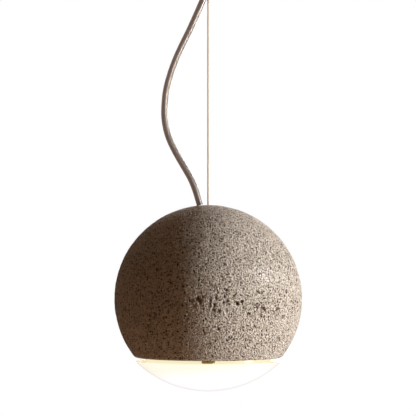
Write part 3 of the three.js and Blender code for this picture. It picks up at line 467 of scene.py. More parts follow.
for node in ("wire_tail", "swaged_wire_end", "wire_ferrule"):
    wear(node, turned_steel)


# Power flex: three stranded conductors, one copper, one tinned and one gilt, side by side in a clear
# glossy sheath 6 mm thick. It leaves the cord grip, hangs in an easy bow, and enters the ball by the rope.

FLEX_RADIUS = 0.003
FLEX_ROUTE = [
    (-8, 0, -320), (-9.5, 0, -315), (-12.2, 0, -306), (-16.2, 0.2, -296), (-21.4, 0.5, -286.5),
    (-27, 1, -277), (-32.3, 1.5, -267.5), (-36.8, 2, -258), (-40.1, 2.5, -248), (-42, 3, -236.5),
    (-42.1, 3.6, -225), (-40.6, 4.2, -210), (-37, 4.8, -195.5), (-31.9, 5.4, -181), (-25.7, 5.9, -167),
    (-18.6, 6.3, -152.5), (-12, 6.6, -138), (-5.6, 6.7, -123.5), (0.3, 6.5, -111), (6, 5.8, -98),
    (11, 4.2, -84), (14.5, 2, -71), (15.9, 0.4, -61), (16, 0, -52.2),
]
MILLIMETRE = 0.001
FLEX_STEP = 0.0005
SHEATH_STRIDE = 4
CORE_RADIUS = 0.00132
CORE_LAY = 0.00153
CORE_STRANDS = 9
CORE_SWAY = 0.25
CORE_SWAY_RATE = 30
STRAND_PITCH = 0.011
# dark and light tone, bearing of the core in the sheath, and how metallic it is
CORES = {
    "tinned": ((0.36, 0.31, 0.32), (0.78, 0.72, 0.74), 0.35, 0.8),
    "copper": ((0.30, 0.19, 0.155), (0.66, 0.48, 0.41), -1.60, 0.85),
    "gilt": ((0.13, 0.11, 0.07), (0.32, 0.28, 0.19), 2.20, 0.2),
}


def smooth_route(corners, step):
    """A smooth line through corners, in even steps of about the length given."""
    line = []
    held = [corners[0] * 2 - corners[1], *corners, corners[-1] * 2 - corners[-2]]
    for before, start, end, after in zip(held, held[1:], held[2:], held[3:]):
        count = max(2, round((end - start).length / step))
        for index in range(count):
            t = index / count
            line.append(0.5 * (
                2 * start + (end - before) * t + (2 * before - 5 * start + 4 * end - after) * t * t
                + (3 * start - before - 3 * end + after) * t**3
            ))
    return [*line, corners[-1]]


flex_path = smooth_route([Vector(point) * MILLIMETRE for point in FLEX_ROUTE], FLEX_STEP)
flex_runs = [0.0]
for start, end in zip(flex_path, flex_path[1:]):
    flex_runs.append(flex_runs[-1] + (end - start).length)
flex_sides = []
for index in range(len(flex_path)):
    forward = (flex_path[min(index + 1, len(flex_path) - 1)] - flex_path[max(index - 1, 0)]).normalized()
    front = Vector((0, -1, 0))
    front = (front - forward * front.dot(forward)).normalized()
    flex_sides.append((front, forward.cross(front)))


def see_through(finish, skin, film, gleam, index):
    """Makes a finish clear: a film that light goes straight through, with a gleam that grows edge-on."""
    edge_on = put(finish, "Fresnel", {"IOR": index})
    both = put(finish, "MixShader", {0: edge_on.outputs[0], 1: film.outputs[0], 2: gleam.outputs[0]})
    shaders = finish.node_tree.nodes
    join(finish, both.outputs[0], shaders["Material Output"].inputs["Surface"])
    shaders.remove(skin)


clear_sheath, skin = new_finish("clear_sheath")
film = put(clear_sheath, "BsdfTransparent", {"Color": (0.93, 0.91, 0.89, 1)})
haze = between(clear_sheath, grained(clear_sheath, (260, 260, 90)), 0.3, 0.7, 0.10, 0.22)
gleam = put(clear_sheath, "BsdfGlossy", {"Color": (0.6, 0.58, 0.57, 1), "Roughness": haze})
see_through(clear_sheath, skin, film, gleam, 1.4)

sheath_spots = [*range(0, len(flex_path) - 1, SHEATH_STRIDE), len(flex_path) - 1]
sheath_path = [flex_path[index] for index in sheath_spots]
sheath_sides = [flex_sides[index] for index in sheath_spots]
sheath_shape = spun_tube(sheath_path, sheath_sides, round_outline(FLEX_RADIUS, 32), [0] * len(sheath_path))
flex = solid("flex", *sheath_shape, clear_sheath, None)


def core_finish(name, dark, light, shine):
    """A bare stranded conductor, with painted shade that darkens it between its strands and leaves their
    crowns bright.
    """
    finish, skin = new_finish(name, Metallic=shine)
    groove = put(finish, "Attribute", attribute_name="groove").outputs["Fac"]
    along = put(finish, "Attribute", attribute_name="along").outputs["Fac"]
    streaks = put(finish, "TexNoise", {"W": along, "Scale": 120.0, "Detail": 3.0}, noise_dimensions="1D")
    streak = streaks.outputs["Fac"]
    # painted shade between the strands, lighter on their crowns
    lit = maths(finish, groove, "MULTIPLY", between(finish, streak, 0.3, 0.7, 0.8, 1.0))
    join(finish, tinted(finish, lit, dark, light), skin.inputs["Base Color"])
    join(finish, between(finish, streak, 0.3, 0.7, 0.34, 0.5), skin.inputs["Roughness"])
    return finish


core_outline = laid_strands(CORE_RADIUS, CORE_STRANDS, 36)
core_turn = [2 * math.pi * run / STRAND_PITCH for run in flex_runs]
for tone, (dark, light, bearing, shine) in CORES.items():
    core_path = []
    for spot, run, (front, right) in zip(flex_path, flex_runs, flex_sides):
        turn = bearing + CORE_SWAY * math.sin(run * CORE_SWAY_RATE + bearing)
        core_path.append(spot + CORE_LAY * (math.cos(turn) * front + math.sin(turn) * right))
    core_shape = spun_tube(core_path, flex_sides, core_outline, core_turn)
    core = solid("flex_core_" + tone, *core_shape, core_finish("core_" + tone, dark, light, shine), None)
    note(core, "groove", crowns(core_outline, CORE_RADIUS, 0.7) * len(core_path))
    note(core, "along", [run for run in flex_runs for _ in core_outline])
    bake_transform(core)

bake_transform(flex)
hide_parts("power_flex")


# Cord grip: a moulded nylon gland through the canopy's floor that clamps the flex, so that no pull
# reaches the terminals. It has a fine matt grain from the mould.

def moulded(name, tones, rough, relief, cloud, grain, detail=4, spread=(0.3, 0.7), **surface):
    """A dull finish of cloudy colour and fine grain. Cloud and grain are how many spots a metre holds."""
    finish, skin = new_finish(name, **surface)
    clouds = grained(finish, (cloud, cloud, cloud))
    grains = grained(finish, (grain, grain, grain), detail)
    join(finish, tinted(finish, between(finish, clouds, *spread), *tones), skin.inputs["Base Color"])
    join(finish, between(finish, grains, 0.3, 0.7, *rough), skin.inputs["Roughness"])
    raised(finish, skin, grains, relief)
    return finish


nylon = moulded(
    "nylon", ((0.70, 0.68, 0.62), (0.82, 0.80, 0.74)), rough=(0.42, 0.6), relief=6e-5, cloud=80, grain=2400,
    Subsurface_Weight=0.15, Subsurface_Radius=(0.002, 0.002, 0.0015),
)
for node in ("cord_grip", "cord_grip_nut", "terminal_block", "cord_clamp"):
    soften(wear(node, nylon), SMALL_EDGE)


# Ends of the flex and of its cores: insulated leads in brown, blue, and green with yellow, from the
# terminal block to the flex and from the flex to the lampholder. The plastic is smooth, with a soft shine.

def insulation(name, dark, light, stripe=None):
    """Coloured plastic, with a slanting stripe of a second colour if one is given."""
    finish, skin = new_finish(name, Coat_Weight=0.3, Coat_Roughness=0.2)
    cloud = grained(finish, (400, 400, 400))
    colour = tinted(finish, between(finish, cloud, 0.3, 0.7), dark, light)
    if stripe:
        place = put(finish, "TexCoord").outputs["Object"]
        wave = {"Vector": place, "Scale": 140.0, "Distortion": 0.4}
        bands = put(finish, "TexWave", wave, bands_direction="DIAGONAL").outputs["Fac"]
        colour = tinted(finish, between(finish, bands, 0.48, 0.52), colour, stripe)
    join(finish, colour, skin.inputs["Base Color"])
    join(finish, between(finish, cloud, 0.3, 0.7, 0.32, 0.44), skin.inputs["Roughness"])
    raised(finish, skin, cloud, 3e-5)
    return finish


brown_core = insulation("brown_core", (0.16, 0.07, 0.03), (0.24, 0.11, 0.05))
blue_core = insulation("blue_core", (0.06, 0.14, 0.40), (0.10, 0.20, 0.50))
earth_core = insulation("earth_core", (0.60, 0.58, 0.05), (0.72, 0.68, 0.08), stripe=(0.05, 0.28, 0.06))
for pole, insulated in (("live", brown_core), ("neutral", blue_core), ("earth", earth_core)):
    wear("supply_lead_" + pole, insulated)
    wear("lamp_lead_" + pole, insulated)

sheathed, skin = new_finish("sheathed_cores", Coat_Weight=1.0, Coat_Roughness=0.08, Roughness=0.35)
place = put(sheathed, "TexCoord").outputs["Object"]
bands = put(sheathed, "TexWave", {"Vector": place, "Scale": 120.0, "Distortion": 1.0, "Detail": 2.0})
tone = tinted(sheathed, bands.outputs["Fac"], (0.25, 0.14, 0.09), (0.70, 0.66, 0.68))
join(sheathed, tone, skin.inputs["Base Color"])
for node in ("flex_tail", "inner_flex"):
    wear(node, sheathed)


# Terminal screws and earth screw: small slotted screws, turned from brass rod. Three clamp the leads in
# the terminal block, and one holds the earth lead to the tray.

rolled_brass = metal(
    "rolled_brass", (0.52, 0.34, 0.11), (0.78, 0.58, 0.27),
    stretch=(2200, 90, 2200), rough=(0.16, 0.34), relief=2e-5,
)
for node in ("terminal_screw_1", "terminal_screw_2", "terminal_screw_3", "earth_screw"):
    wear(node, rolled_brass)


# Shade: a hollow ball cast in a warm grey cement mortar, 12 mm thick, and cut flat below. Trapped air
# leaves it full of fine pores, with a belt of ragged pits round the middle where two pours of it met, and
# one patch to the right is chipped down to paler mortar, whose pale specks are partly painted glints.
# Its worms, pores and pits are painted darker, as shade.

BALL_RADIUS = 0.090
BALL_WALL = 0.012
MOUTH_RADIUS = 0.06396
RIM_ROUNDING = 0.0018
ROPE_HOLE = 0.0018
FLEX_HOLE = 0.0034
FLEX_OFFSET = -0.008
MOUTH_CHAMFER = 0.001
SEAT_RADIUS = 0.025
SEAT_HEIGHT = 0.077
SEAT_SLOPE = 0.05
CAST_COLUMNS = 700
CAST_STEP = 0.00081
INNER_STEPS = 24
BELT_HEIGHT = -0.004
BELT_WIDTH = 0.014
BELT_RELIEF = 0.0040
# bearing to the right of the front and height above the middle, then width and depth
LARGE_PITS = [
    (-6.3, 0.0027, 0.0034, 0.0026), (17.9, -0.0012, 0.0030, 0.0022), (35.1, -0.0060, 0.0028, 0.0020),
    (46.5, -0.0079, 0.0030, 0.0020), (24.7, -0.0117, 0.0024, 0.0018), (-3.0, 0.0052, 0.0018, 0.0016),
    (29.0, -0.0030, 0.0016, 0.0014), (11.0, 0.0010, 0.0018, 0.0012),
]
PITS_IN_CLUSTER = 6
BELT_PITS = 220
BELT_PIT_SIZES = (0.0006, 0.0018)
SMALL_PITS = 2200
SMALL_PIT_SIZES = (0.0005, 0.0012)
PIT_RAGGED = 0.55
PIT_GRAIN = 900
FULL_PIT = 0.0012
UNEVEN = 0.00018
CHIPPED_BEARING = 36
CHIPPED_HEIGHT = 0.024
CHIPPED_SIZE = 0.011
CHIPPED_RELIEF = 0.0022
TEXTURE_RELIEF = 0.0022

outer_step = CAST_STEP / BALL_RADIUS
rim_radius = math.sqrt(BALL_RADIUS**2 - RIM_DROP**2)
top_angle = math.acos(ROPE_HOLE / BALL_RADIUS)
rim_angle = -math.asin((RIM_DROP - RIM_ROUNDING) / BALL_RADIUS)
outer_rows = round((top_angle - rim_angle) / outer_step)
outer_arc = [
    (BALL_RADIUS * math.cos(a), BALL_RADIUS * math.sin(a))
    for a in (top_angle + (rim_angle - top_angle) * i / outer_rows for i in range(outer_rows + 1))
]
inner_radius = BALL_RADIUS - BALL_WALL
inner_top = math.acos(SEAT_RADIUS / inner_radius) - SEAT_SLOPE
inner_low = -math.acos(MOUTH_RADIUS / inner_radius)
inner_arc = [
    (inner_radius * math.cos(a), inner_radius * math.sin(a))
    for a in (inner_low + (inner_top - inner_low) * i / INNER_STEPS for i in range(INNER_STEPS + 1))
]
cast_section = [
    *outer_arc,
    *corner(outer_arc[-1], (rim_radius, -RIM_DROP), (rim_radius - RIM_ROUNDING, -RIM_DROP), 4)[1:],
    ((rim_radius + MOUTH_RADIUS) / 2, -RIM_DROP),
    (MOUTH_RADIUS + MOUTH_CHAMFER, -RIM_DROP),
    (MOUTH_RADIUS, MOUTH_CHAMFER - RIM_DROP),
    *inner_arc,
    (SEAT_RADIUS, SEAT_HEIGHT),
    (ROPE_HOLE, SEAT_HEIGHT),
]
cast_points, cast_faces = turned(cast_section, CAST_COLUMNS)
cast = np.array(cast_points)
outward = cast / np.linalg.norm(cast, axis=1)[:, None]
outer_count = (outer_rows + 1) * CAST_COLUMNS

tree = kdtree.KDTree(outer_count)
for index in range(outer_count):
    tree.insert(cast[index], index)
tree.balance()


def on_ball(bearing, height):
    """The spot on the ball at a bearing to the right of its front, and a height above its middle."""
    across = math.sqrt(max(0.0, BALL_RADIUS**2 - height**2))
    return Vector((across * math.sin(bearing), -across * math.cos(bearing), height))


def drawn_size(sizes, rarity):
    """A size between two. A higher rarity makes large ones rarer."""
    least, most = sizes
    return least + (most - least) * chance.random() ** rarity


chance = random.Random(7)
pits = []
for bearing, height, width, depth in LARGE_PITS:
    for _ in range(PITS_IN_CLUSTER):
        turn = math.radians(bearing) + chance.uniform(-0.5, 0.5) * width / BALL_RADIUS
        rise = height + chance.uniform(-0.4, 0.4) * width
        pits.append((turn, rise, width * chance.uniform(0.3, 0.62), depth * chance.uniform(0.5, 1.0)))
for _ in range(BELT_PITS):
    crowded = chance.random() < 0.6
    turn = chance.gauss(math.radians(28), 0.45) if crowded else chance.uniform(-math.pi, math.pi)
    size = drawn_size(BELT_PIT_SIZES, 2)
    pits.append((turn, chance.gauss(BELT_HEIGHT, BELT_WIDTH), size, size * 0.8))
for _ in range(SMALL_PITS):
    size = drawn_size(SMALL_PIT_SIZES, 3)
    height = chance.uniform(-RIM_DROP, BALL_RADIUS * 0.93)
    pits.append((chance.uniform(-math.pi, math.pi), height, size, size * 0.6))

sunk = np.zeros(len(cast))
for bearing, height, size, depth in pits:
    for spot, index, gap in tree.find_range(on_ball(bearing, height), size * (1 + PIT_RAGGED)):
        ragged = 1 + PIT_RAGGED * noise.noise(spot * PIT_GRAIN)
        share = gap / (size * ragged)
        if share < 1:
            sunk[index] = max(sunk[index], depth * (1 - share**3))


def belt_share(spot):
    """How much of the ragged belt there is at a spot, from 0 to 1. It is strongest at the right."""
    near_belt = math.exp(-(((spot.z - BELT_HEIGHT) / BELT_WIDTH) ** 2))
    if near_belt < 0.05:
        return 0.0
    patch = max(0.0, noise.noise(spot * 30) + 0.25 + 0.5 * (spot.x / BALL_RADIUS) * (spot.y < 0))
    return near_belt * min(1.0, patch)


def broken(spot, scale, least):
    """Ragged lumps, 0 where their noise is below the least."""
    return max(0.0, noise.turbulence(spot * scale, 3, True) - least)


chipped_middle = on_ball(math.radians(CHIPPED_BEARING), CHIPPED_HEIGHT)
chipped = np.zeros(len(cast))
relief = np.zeros(len(cast))
for index in range(outer_count):
    spot = Vector(cast[index])
    relief[index] = UNEVEN * (noise.fractal(spot * 260, 0.8, 2.1, 3) + noise.noise(spot * 60))
    relief[index] -= BELT_RELIEF * belt_share(spot) * broken(spot, 210, 0.42)
    from_chipped = (spot - chipped_middle).length
    if from_chipped < 3 * CHIPPED_SIZE:
        chipped[index] = math.exp(-((from_chipped / CHIPPED_SIZE) ** 2))
        relief[index] -= CHIPPED_RELIEF * chipped[index] * broken(spot, 260, 0.3)
cast_shaped = cast + outward * (relief - sunk)[:, None] + np.array(BALL_MIDDLE)

concrete, skin = new_finish("concrete", Specular_IOR_Level=0.2)
place = put(concrete, "TexCoord").outputs["Object"]
hollow = put(concrete, "Attribute", attribute_name="hollow").outputs["Fac"]
chipped_share = put(concrete, "Attribute", attribute_name="chipped").outputs["Fac"]


def cells(scale):
    return put(concrete, "TexVoronoi", {"Vector": place, "Scale": scale, "Randomness": 1.0})


def lot(cell, channel):
    """A number from 0 to 1 that is drawn for each cell."""
    return put(concrete, "SeparateColor", {0: cell.outputs["Color"]}).outputs[channel]


def pores(scale, least, most):
    """Round holes of mixed size: 0 inside one, 1 outside. Least and most are of a cell's width."""
    cell = cells(scale)
    size = between(concrete, lot(cell, 0), 0.0, 1.0, least, most)
    return between(concrete, maths(concrete, cell.outputs["Distance"], "SUBTRACT", size), -0.06, 0.06)


def times(first, second):
    return maths(concrete, first, "MULTIPLY", second)


def plus(first, second):
    return maths(concrete, first, "ADD", second)


# relief: worm-like hollows left by air against the mould, then pores, then sand grains
worms = between(concrete, grained(concrete, (610, 610, 610), 2), 0.38, 0.56)
grit = grained(concrete, (950, 950, 950), 2)
open_or_fine = times(pores(760.0, -0.08, 0.44), pores(460.0, -0.32, 0.46))
surface = plus(plus(times(worms, 0.42), times(open_or_fine, 0.6)), times(grit, 0.7))
height = put(concrete, "SeparateXYZ", {0: place}).outputs["Z"]
below_crown = between(concrete, height, BALL_MIDDLE.z + 0.05, BALL_MIDDLE.z + 0.088, 1.0, 0.5)
raised(concrete, skin, times(surface, below_crown), TEXTURE_RELIEF)

# colour: blotched cement, with painted shade in the worms, the pores and the pits, pale chipped specks that
# are partly painted glints, and a few rust spots
stain = between(concrete, grained(concrete, (26, 26, 34)), 0.3, 0.72)
cement = tinted(concrete, stain, (0.60, 0.555, 0.495), (0.665, 0.62, 0.56))
# painted shade: the worm hollows are darkened in colour
painted_worm_shade = tinted(concrete, worms, (0.56, 0.49, 0.42), (1.0, 1.0, 1.0))
cement_with_worm_shade = tinted(concrete, 0.8, cement, painted_worm_shade, "MULTIPLY")
# painted shade: the inside of each pore is near black
with_painted_pore_shade = tinted(concrete, open_or_fine, (0.06, 0.04, 0.025), cement_with_worm_shade)
# painted shade: the pits darken the deeper they are sunk
with_painted_pit_shade = tinted(concrete, times(hollow, 0.75), with_painted_pore_shade, (0.14, 0.10, 0.07))
# pale specks in the chipped patch: partly paler mortar, partly painted glints
pale_chips_and_glints = between(concrete, grained(concrete, (560, 560, 560), 2), 0.50, 0.56)
with_chips_and_glints = tinted(concrete, times(chipped_share, pale_chips_and_glints), with_painted_pit_shade, (0.92, 0.90, 0.87))
rust_cell = cells(40.0)
rust_spot = between(concrete, rust_cell.outputs["Distance"], 0.035, 0.065, 1.0, 0.0)
rust_share = times(rust_spot, between(concrete, lot(rust_cell, 1), 0.72, 0.76))
with_rust = tinted(concrete, rust_share, with_chips_and_glints, (0.30, 0.12, 0.05))
join(concrete, with_rust, skin.inputs["Base Color"])
join(concrete, between(concrete, grit, 0.3, 0.7, 0.7, 0.95), skin.inputs["Roughness"])

shade = solid("shade", cast_shaped, cast_faces, concrete, None)
note(shade, "hollow", np.clip(sunk / FULL_PIT, 0, 1))
note(shade, "chipped", chipped)
shell = bmesh.new()
shell.from_mesh(shade.data)
hole_middle = Vector((FLEX_OFFSET, 0))
over_hole = [
    face for face in shell.faces
    if face.calc_center_median().z > BALL_MIDDLE.z
    and (face.calc_center_median().xy - hole_middle).length < FLEX_HOLE
]
bmesh.ops.delete(shell, geom=over_hole, context="FACES")
open_edges = [edge for edge in shell.edges if edge.is_boundary]
for edge in open_edges:
    for end in edge.verts:
        away = (end.co.xy - hole_middle).normalized() * FLEX_HOLE
        end.co.x, end.co.y = hole_middle.x + away.x, away.y
top_edges = [edge for edge in open_edges if edge.verts[0].co.z > BALL_MIDDLE.z + SEAT_HEIGHT + BALL_WALL / 2]
lining = bmesh.ops.extrude_edge_only(shell, edges=top_edges)["geom"]
for part in lining:
    if isinstance(part, bmesh.types.BMVert):
        part.co.z = BALL_MIDDLE.z + SEAT_HEIGHT
shell.normal_update()
shell.to_mesh(shade.data)
shell.free()
shade.data.polygons.foreach_set("use_smooth", [True] * len(shade.data.polygons))
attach(shade, "shade")
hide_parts("concrete_shade")


# Hanger frame: a steel plate with three stay rods, pulled up against a black rubber washer inside
# the crown by the rope's swaged end. It carries everything inside the ball.

bent_steel = metal(
    "bent_steel", (0.44, 0.43, 0.41), (0.62, 0.61, 0.58),
    stretch=(900, 900, 200), rough=(0.26, 0.48), relief=4e-5,
)
soften(wear("hanger_frame", bent_steel), SMALL_EDGE)

rubber = moulded(
    "rubber", ((0.018, 0.018, 0.018), (0.06, 0.058, 0.055)), rough=(0.6, 0.85), relief=5e-5,
    cloud=900, grain=900, spread=(0.4, 0.75),
)
wear("cushion_washer", rubber)


# Reflector tray: a pressed steel disc with an upturned edge and a hole for the lamp, held on the stay
# rods by three nuts. It is stove-enamelled white to throw the light down into the bowl.

white_paint = moulded(
    "white_paint", ((0.80, 0.78, 0.73), (0.88, 0.87, 0.83)), rough=(0.28, 0.4), relief=5e-5,
    cloud=35, grain=700, detail=2, Coat_Weight=0.4, Coat_Roughness=0.15,
)
wear("reflector_tray", white_paint)
for node in ("rod_nut_1", "rod_nut_2", "rod_nut_3"):
    soften(wear(node, zinc_strip), SMALL_EDGE)


# Spring clips: three leaves of bright rolled brass, screwed under the tray, that grip the glass bowl's
# neck. Each leaf bulges outwards across its width, and its foot shows in the gap between ball and bowl.

CLIP_WIDTH = 0.012
CLIP_SHEET = 0.0008
CLIP_BULGE = 0.0020
CLIP_BULGE_TOP = -0.0500
CLIP_BULGE_RUN = 0.004
CLIP_FLAT_SHARE = 0.25
CLIP_CURL = 0.0006
CLIP_CURL_TOP = -0.0585
CLIP_EDGE = 1.5e-4
# distance from the axis and height above the ball's middle, along the leaf
CLIP_LINE = [
    (0.0475, -0.0477), (0.0520, -0.0477), (0.0565, -0.0477), (0.0588, -0.0479), (0.0603, -0.0486),
    (0.0610, -0.0500), (0.06116, -0.0520), (0.06116, -0.0540), (0.06116, -0.0556), (0.0614, -0.0566),
    (0.0620, -0.0576), (0.0624, -0.0584), (0.0625, -0.0589),
]
CLIP_COLUMNS = 24

clip_brass = metal(
    "clip_brass", (0.56, 0.46, 0.24), (0.78, 0.69, 0.44),
    stretch=(2200, 90, 2200), rough=(0.07, 0.16), relief=1e-5,
)


def clip_leaf(outwards):
    """Points and faces of a leaf, without thickness, that faces outwards from the axis."""
    sideways = Vector((-outwards.y, outwards.x, 0))
    points = []
    for radius, height in CLIP_LINE:
        bulge = CLIP_BULGE * min(1.0, max(0.0, (CLIP_BULGE_TOP - height) / CLIP_BULGE_RUN))
        curl = CLIP_CURL if height < CLIP_CURL_TOP else 0.0
        for column in range(CLIP_COLUMNS + 1):
            share = 2 * column / CLIP_COLUMNS - 1
            slope = max(0.0, (abs(share) - CLIP_FLAT_SHARE) / (1 - CLIP_FLAT_SHARE))
            reach = radius + bulge * (1 - slope**2)
            rise = Vector((0, 0, height + BALL_MIDDLE.z + curl * share**6))
            points.append(outwards * reach + sideways * (share * CLIP_WIDTH / 2) + rise)
    row = CLIP_COLUMNS + 1
    faces = [
        (a + i, a + i + 1, a + row + i + 1, a + row + i)
        for a in range(0, (len(CLIP_LINE) - 1) * row, row) for i in range(CLIP_COLUMNS)
    ]
    return points, faces


for node in ("spring_clip_1", "spring_clip_2", "spring_clip_3"):
    clip_low, clip_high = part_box(node)
    clip_middle = (clip_low + clip_high) / 2
    outwards = Vector((clip_middle.x, clip_middle.y, 0)).normalized()
    clip = solid("clip_leaf_" + node[-1], *clip_leaf(outwards), clip_brass, "shade")
    sheet = clip.modifiers.new("sheet", "SOLIDIFY")
    sheet.thickness = CLIP_SHEET
    sheet.offset = 0
    rounded = clip.modifiers.new("edge", "BEVEL")
    rounded.width = CLIP_EDGE
    rounded.segments = 2
    rounded.limit_method = "ANGLE"
    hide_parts(node)
for node in ("clip_screw_1", "clip_screw_2", "clip_screw_3"):
    soften(wear(node, zinc_strip), SMALL_EDGE)


# Lampholder: a pressed ceramic body with two pin sockets, unglazed and slightly rough. It hangs under a
# bent steel bridge, and small steel screws hold both.

ceramic = moulded(
    "ceramic", ((0.74, 0.71, 0.64), (0.86, 0.84, 0.79)), rough=(0.4, 0.7), relief=4e-5, cloud=90, grain=1500,
)
for node in ("lampholder", "lamp_base"):
    soften(wear(node, ceramic), LARGE_EDGE)
soften(wear("lampholder_bridge", zinc_strip), SMALL_EDGE)
for node in ("bridge_screw_1", "bridge_screw_2", "holder_screw", "lamp_pin_1", "lamp_pin_2"):
    wear(node, zinc_strip)


# Lamp: a clear glass envelope on a ceramic base that holds two steel pins, with a glowing strip of
# small emitters inside. The glass is blown, so its gloss ripples a little.

lamp_glass, skin = new_finish("lamp_glass")
ripple = between(lamp_glass, grained(lamp_glass, (70, 70, 50)), 0.3, 0.7, 0.02, 0.08)
clear = put(lamp_glass, "BsdfTransparent", {"Color": (0.96, 0.97, 0.96, 1)})
gleam = put(lamp_glass, "BsdfGlossy", {"Color": (1, 1, 1, 1), "Roughness": ripple})
see_through(lamp_glass, skin, clear, gleam, 1.5)
wear("lamp_envelope", lamp_glass)

glow_strip, skin = new_finish("glow_strip", Roughness=0.4, Emission_Strength=1.6)
spots = put(glow_strip, "TexCoord").outputs["Object"]
emitters = put(glow_strip, "TexVoronoi", {"Vector": spots, "Scale": 620.0, "Randomness": 0.15})
off_middle = between(glow_strip, emitters.outputs["Distance"], 0.2, 0.5)
strip_tone = tinted(glow_strip, off_middle, (1.0, 0.86, 0.60), (0.62, 0.46, 0.22))
join(glow_strip, strip_tone, skin.inputs["Base Color"])
join(glow_strip, strip_tone, skin.inputs["Emission Color"])
wear("light_strip", glow_strip)


# Diffuser: a shallow bowl blown in white opal glass and cased in clear, with a ground lip and a neck that
# goes up inside the shade. The lamp's light through it is painted on as a glow: white, creamier towards
# the edge and the lip as painted shade, warmer to the left as a painted reflection, yellow on the neck in
# the gap under the ball, and strong yellow on faces that look up, which lights the ball's rim from below.
# Its own colour is kept nearly black, so that only the painted glow makes it bright.

NECK_RADIUS = 0.06046
NECK_TOP = -0.0494
LIP_RADIUS = 0.06956
LIP_TOP = -0.0596
LIP_BOTTOM = -0.0610
LIP_EDGE = 0.0004
LIP_FOOT = 0.0005
EDGE_RADIUS = 0.06896
NECK_FILLET = 0.0006
GLASS_WALL = 0.003
BOWL_RADIUS = 0.09994
BOWL_MIDDLE = 0.01134

opal, skin = new_finish(
    "opal_glass", Roughness=0.4, Specular_IOR_Level=0.05, Emission_Strength=1.0,
    Coat_Weight=1.0, Coat_Roughness=0.06, Coat_IOR=1.22, Coat_Tint=(1.0, 0.985, 0.94, 1),
)
place = put(opal, "TexCoord").outputs["Object"]
parts = put(opal, "SeparateXYZ", {0: place})
across = put(opal, "CombineXYZ", {"X": parts.outputs["X"], "Y": parts.outputs["Y"]})
from_axis = put(opal, "VectorMath", {0: across.outputs[0]}, operation="LENGTH").outputs["Value"]
swirl = grained(opal, (35, 35, 70), 3)
swayed = maths(opal, from_axis, "ADD", between(opal, swirl, 0.2, 0.8, -0.002, 0.002))
# painted reflection: the glow is warmer on the left side
painted_left_warmth = between(opal, parts.outputs["X"], -0.05, 0.05, 0.008, -0.004)
# painted shade: the glow turns creamier towards the edge and lip
painted_edge_cream = between(opal, maths(opal, swayed, "ADD", painted_left_warmth), 0.054, 0.070)
bowl_glow = tinted(opal, painted_edge_cream, (1.10, 1.10, 1.22), (1.04, 1.00, 0.92))
lip_height = BALL_MIDDLE.z + LIP_TOP
# painted glow: the neck turns yellow where it shows in the gap under the ball
in_gap = between(opal, parts.outputs["Z"], lip_height - LIP_EDGE / 2, lip_height + LIP_EDGE)
neck_glow = tinted(opal, in_gap, bowl_glow, (0.90, 0.83, 0.60))
# painted glow: faces that look up glow strong yellow, and light the ball's rim from below
upwards = put(opal, "SeparateXYZ", {0: put(opal, "TexCoord").outputs["Normal"]}).outputs["Z"]
glow = tinted(opal, between(opal, upwards, 0.9, 0.99), neck_glow, (1.35, 1.08, 0.62))
join(opal, glow, skin.inputs["Emission Color"])
# the bowl's own colour is nearly black, so that the painted glow alone shows
body_tone = tinted(opal, between(opal, swirl, 0.3, 0.7), (0.05, 0.05, 0.045), (0.07, 0.07, 0.065))
join(opal, body_tone, skin.inputs["Base Color"])
raised(opal, skin, swirl, 1e-4)


def bowl_arc(radius, start, end, count):
    """Points of the bowl's arc from one distance off the axis to another."""
    spread = (start + (end - start) * index / count for index in range(count + 1))
    return [(off, BOWL_MIDDLE - math.sqrt(radius**2 - off**2)) for off in spread]


inner_neck = NECK_RADIUS - GLASS_WALL
glass_section = [
    *bowl_arc(BOWL_RADIUS - GLASS_WALL, LIP_EDGE, inner_neck, 30),
    (inner_neck, NECK_TOP - LIP_EDGE),
    (inner_neck + LIP_EDGE, NECK_TOP),
    (NECK_RADIUS - LIP_EDGE, NECK_TOP),
    (NECK_RADIUS, NECK_TOP - LIP_EDGE),
    (NECK_RADIUS, LIP_TOP + NECK_FILLET),
    (NECK_RADIUS + NECK_FILLET, LIP_TOP),
    (LIP_RADIUS - LIP_EDGE, LIP_TOP),
    (LIP_RADIUS, LIP_TOP - LIP_EDGE),
    (LIP_RADIUS, LIP_BOTTOM + LIP_FOOT),
    *bowl_arc(BOWL_RADIUS, EDGE_RADIUS, LIP_EDGE, 60),
]
glass_section = [(radius, height + BALL_MIDDLE.z) for radius, height in glass_section]
diffuser = solid("diffuser", *turned(glass_section, 160), opal, "diffuser")
crease(diffuser, 40)
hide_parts("glass_diffuser")


# Studio: a plain pale floor well below the light, a tall soft lamp from the right with a weak warm one
# beside it, a softer one behind, a weak warm fill from the room, and a white backdrop.

FLOOR_HEIGHT = -1.2
FLOOR_RADIUS = 6.0

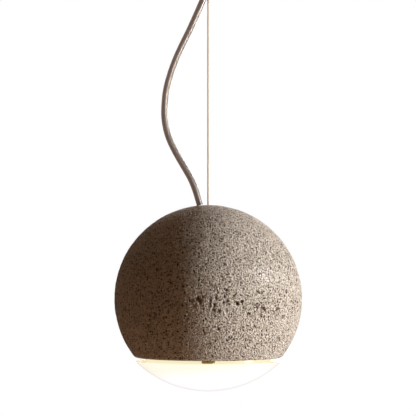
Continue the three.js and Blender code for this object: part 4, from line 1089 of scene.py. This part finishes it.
floor_finish, skin = new_finish("pale_floor", Emission_Strength=0.68)
drift = grained(floor_finish, (3, 3, 3))
drift_share = between(floor_finish, drift, 0.3, 0.7)
floor_tone = tinted(floor_finish, drift_share, (0.83, 0.825, 0.81), (0.86, 0.855, 0.84))
join(floor_finish, floor_tone, skin.inputs["Base Color"])
join(floor_finish, floor_tone, skin.inputs["Emission Color"])
join(floor_finish, between(floor_finish, drift, 0.3, 0.7, 0.6, 0.7), skin.inputs["Roughness"])
floor_face = turned([(0.001, FLOOR_HEIGHT), (FLOOR_RADIUS, FLOOR_HEIGHT)], 96, False)
floor_piece = solid("floor", *floor_face, floor_finish, None)
floor_piece.visible_diffuse = False
floor_piece.visible_glossy = False


def soft_lamp(name, place, width, height, power, colour):
    """A soft box of that width and height, aimed at the ball."""
    light = bpy.data.lights.new(name, "AREA")
    light.shape = "RECTANGLE"
    light.size = width
    light.size_y = height
    light.energy = power
    light.color = colour
    holder = bpy.data.objects.new(name, light)
    holder.location = place
    holder.rotation_euler = (BALL_MIDDLE - Vector(place)).to_track_quat("-Z", "Y").to_euler()
    bpy.context.scene.collection.objects.link(holder)


soft_lamp("key", (2.32, -0.48, -0.66), 0.7, 2.4, 160, (1.0, 0.985, 0.965))
soft_lamp("warm_side", (2.1, -1.2, -0.9), 1.2, 1.6, 10, (1.0, 0.74, 0.50))
soft_lamp("behind", (0.3, 2.6, 0.4), 0.9, 1.4, 45, (1.0, 0.97, 0.94))

world = bpy.data.worlds.new("room")
bpy.context.scene.world = world
world.use_nodes = True
way = put(world, "SeparateXYZ", {0: put(world, "TexCoord").outputs["Generated"]}).outputs["Z"]
from_below = between(world, way, -1.0, -0.15, 0.55, 0.0)
from_above = between(world, way, 0.15, 1.0, 0.0, 0.16)
fill = maths(world, maths(world, from_below, "ADD", from_above), "ADD", 0.035)
ray = put(world, "LightPath")
backdrop = put(world, "Background", {"Color": (1, 1, 1, 1), "Strength": 1.0})
warm_room = put(world, "Background", {"Color": (1.0, 0.53, 0.28, 1), "Strength": fill})
pale_room = put(world, "Background", {"Color": (0.62, 0.58, 0.53, 1), "Strength": 1.0})
glossy, seen_by_camera = ray.outputs["Is Glossy Ray"], ray.outputs["Is Camera Ray"]
lit_room = put(world, "MixShader", {0: glossy, 1: warm_room.outputs[0], 2: pale_room.outputs[0]})
seen = put(world, "MixShader", {0: seen_by_camera, 1: lit_room.outputs[0], 2: backdrop.outputs[0]})
join(world, seen.outputs[0], world.node_tree.nodes["World Output"].inputs["Surface"])
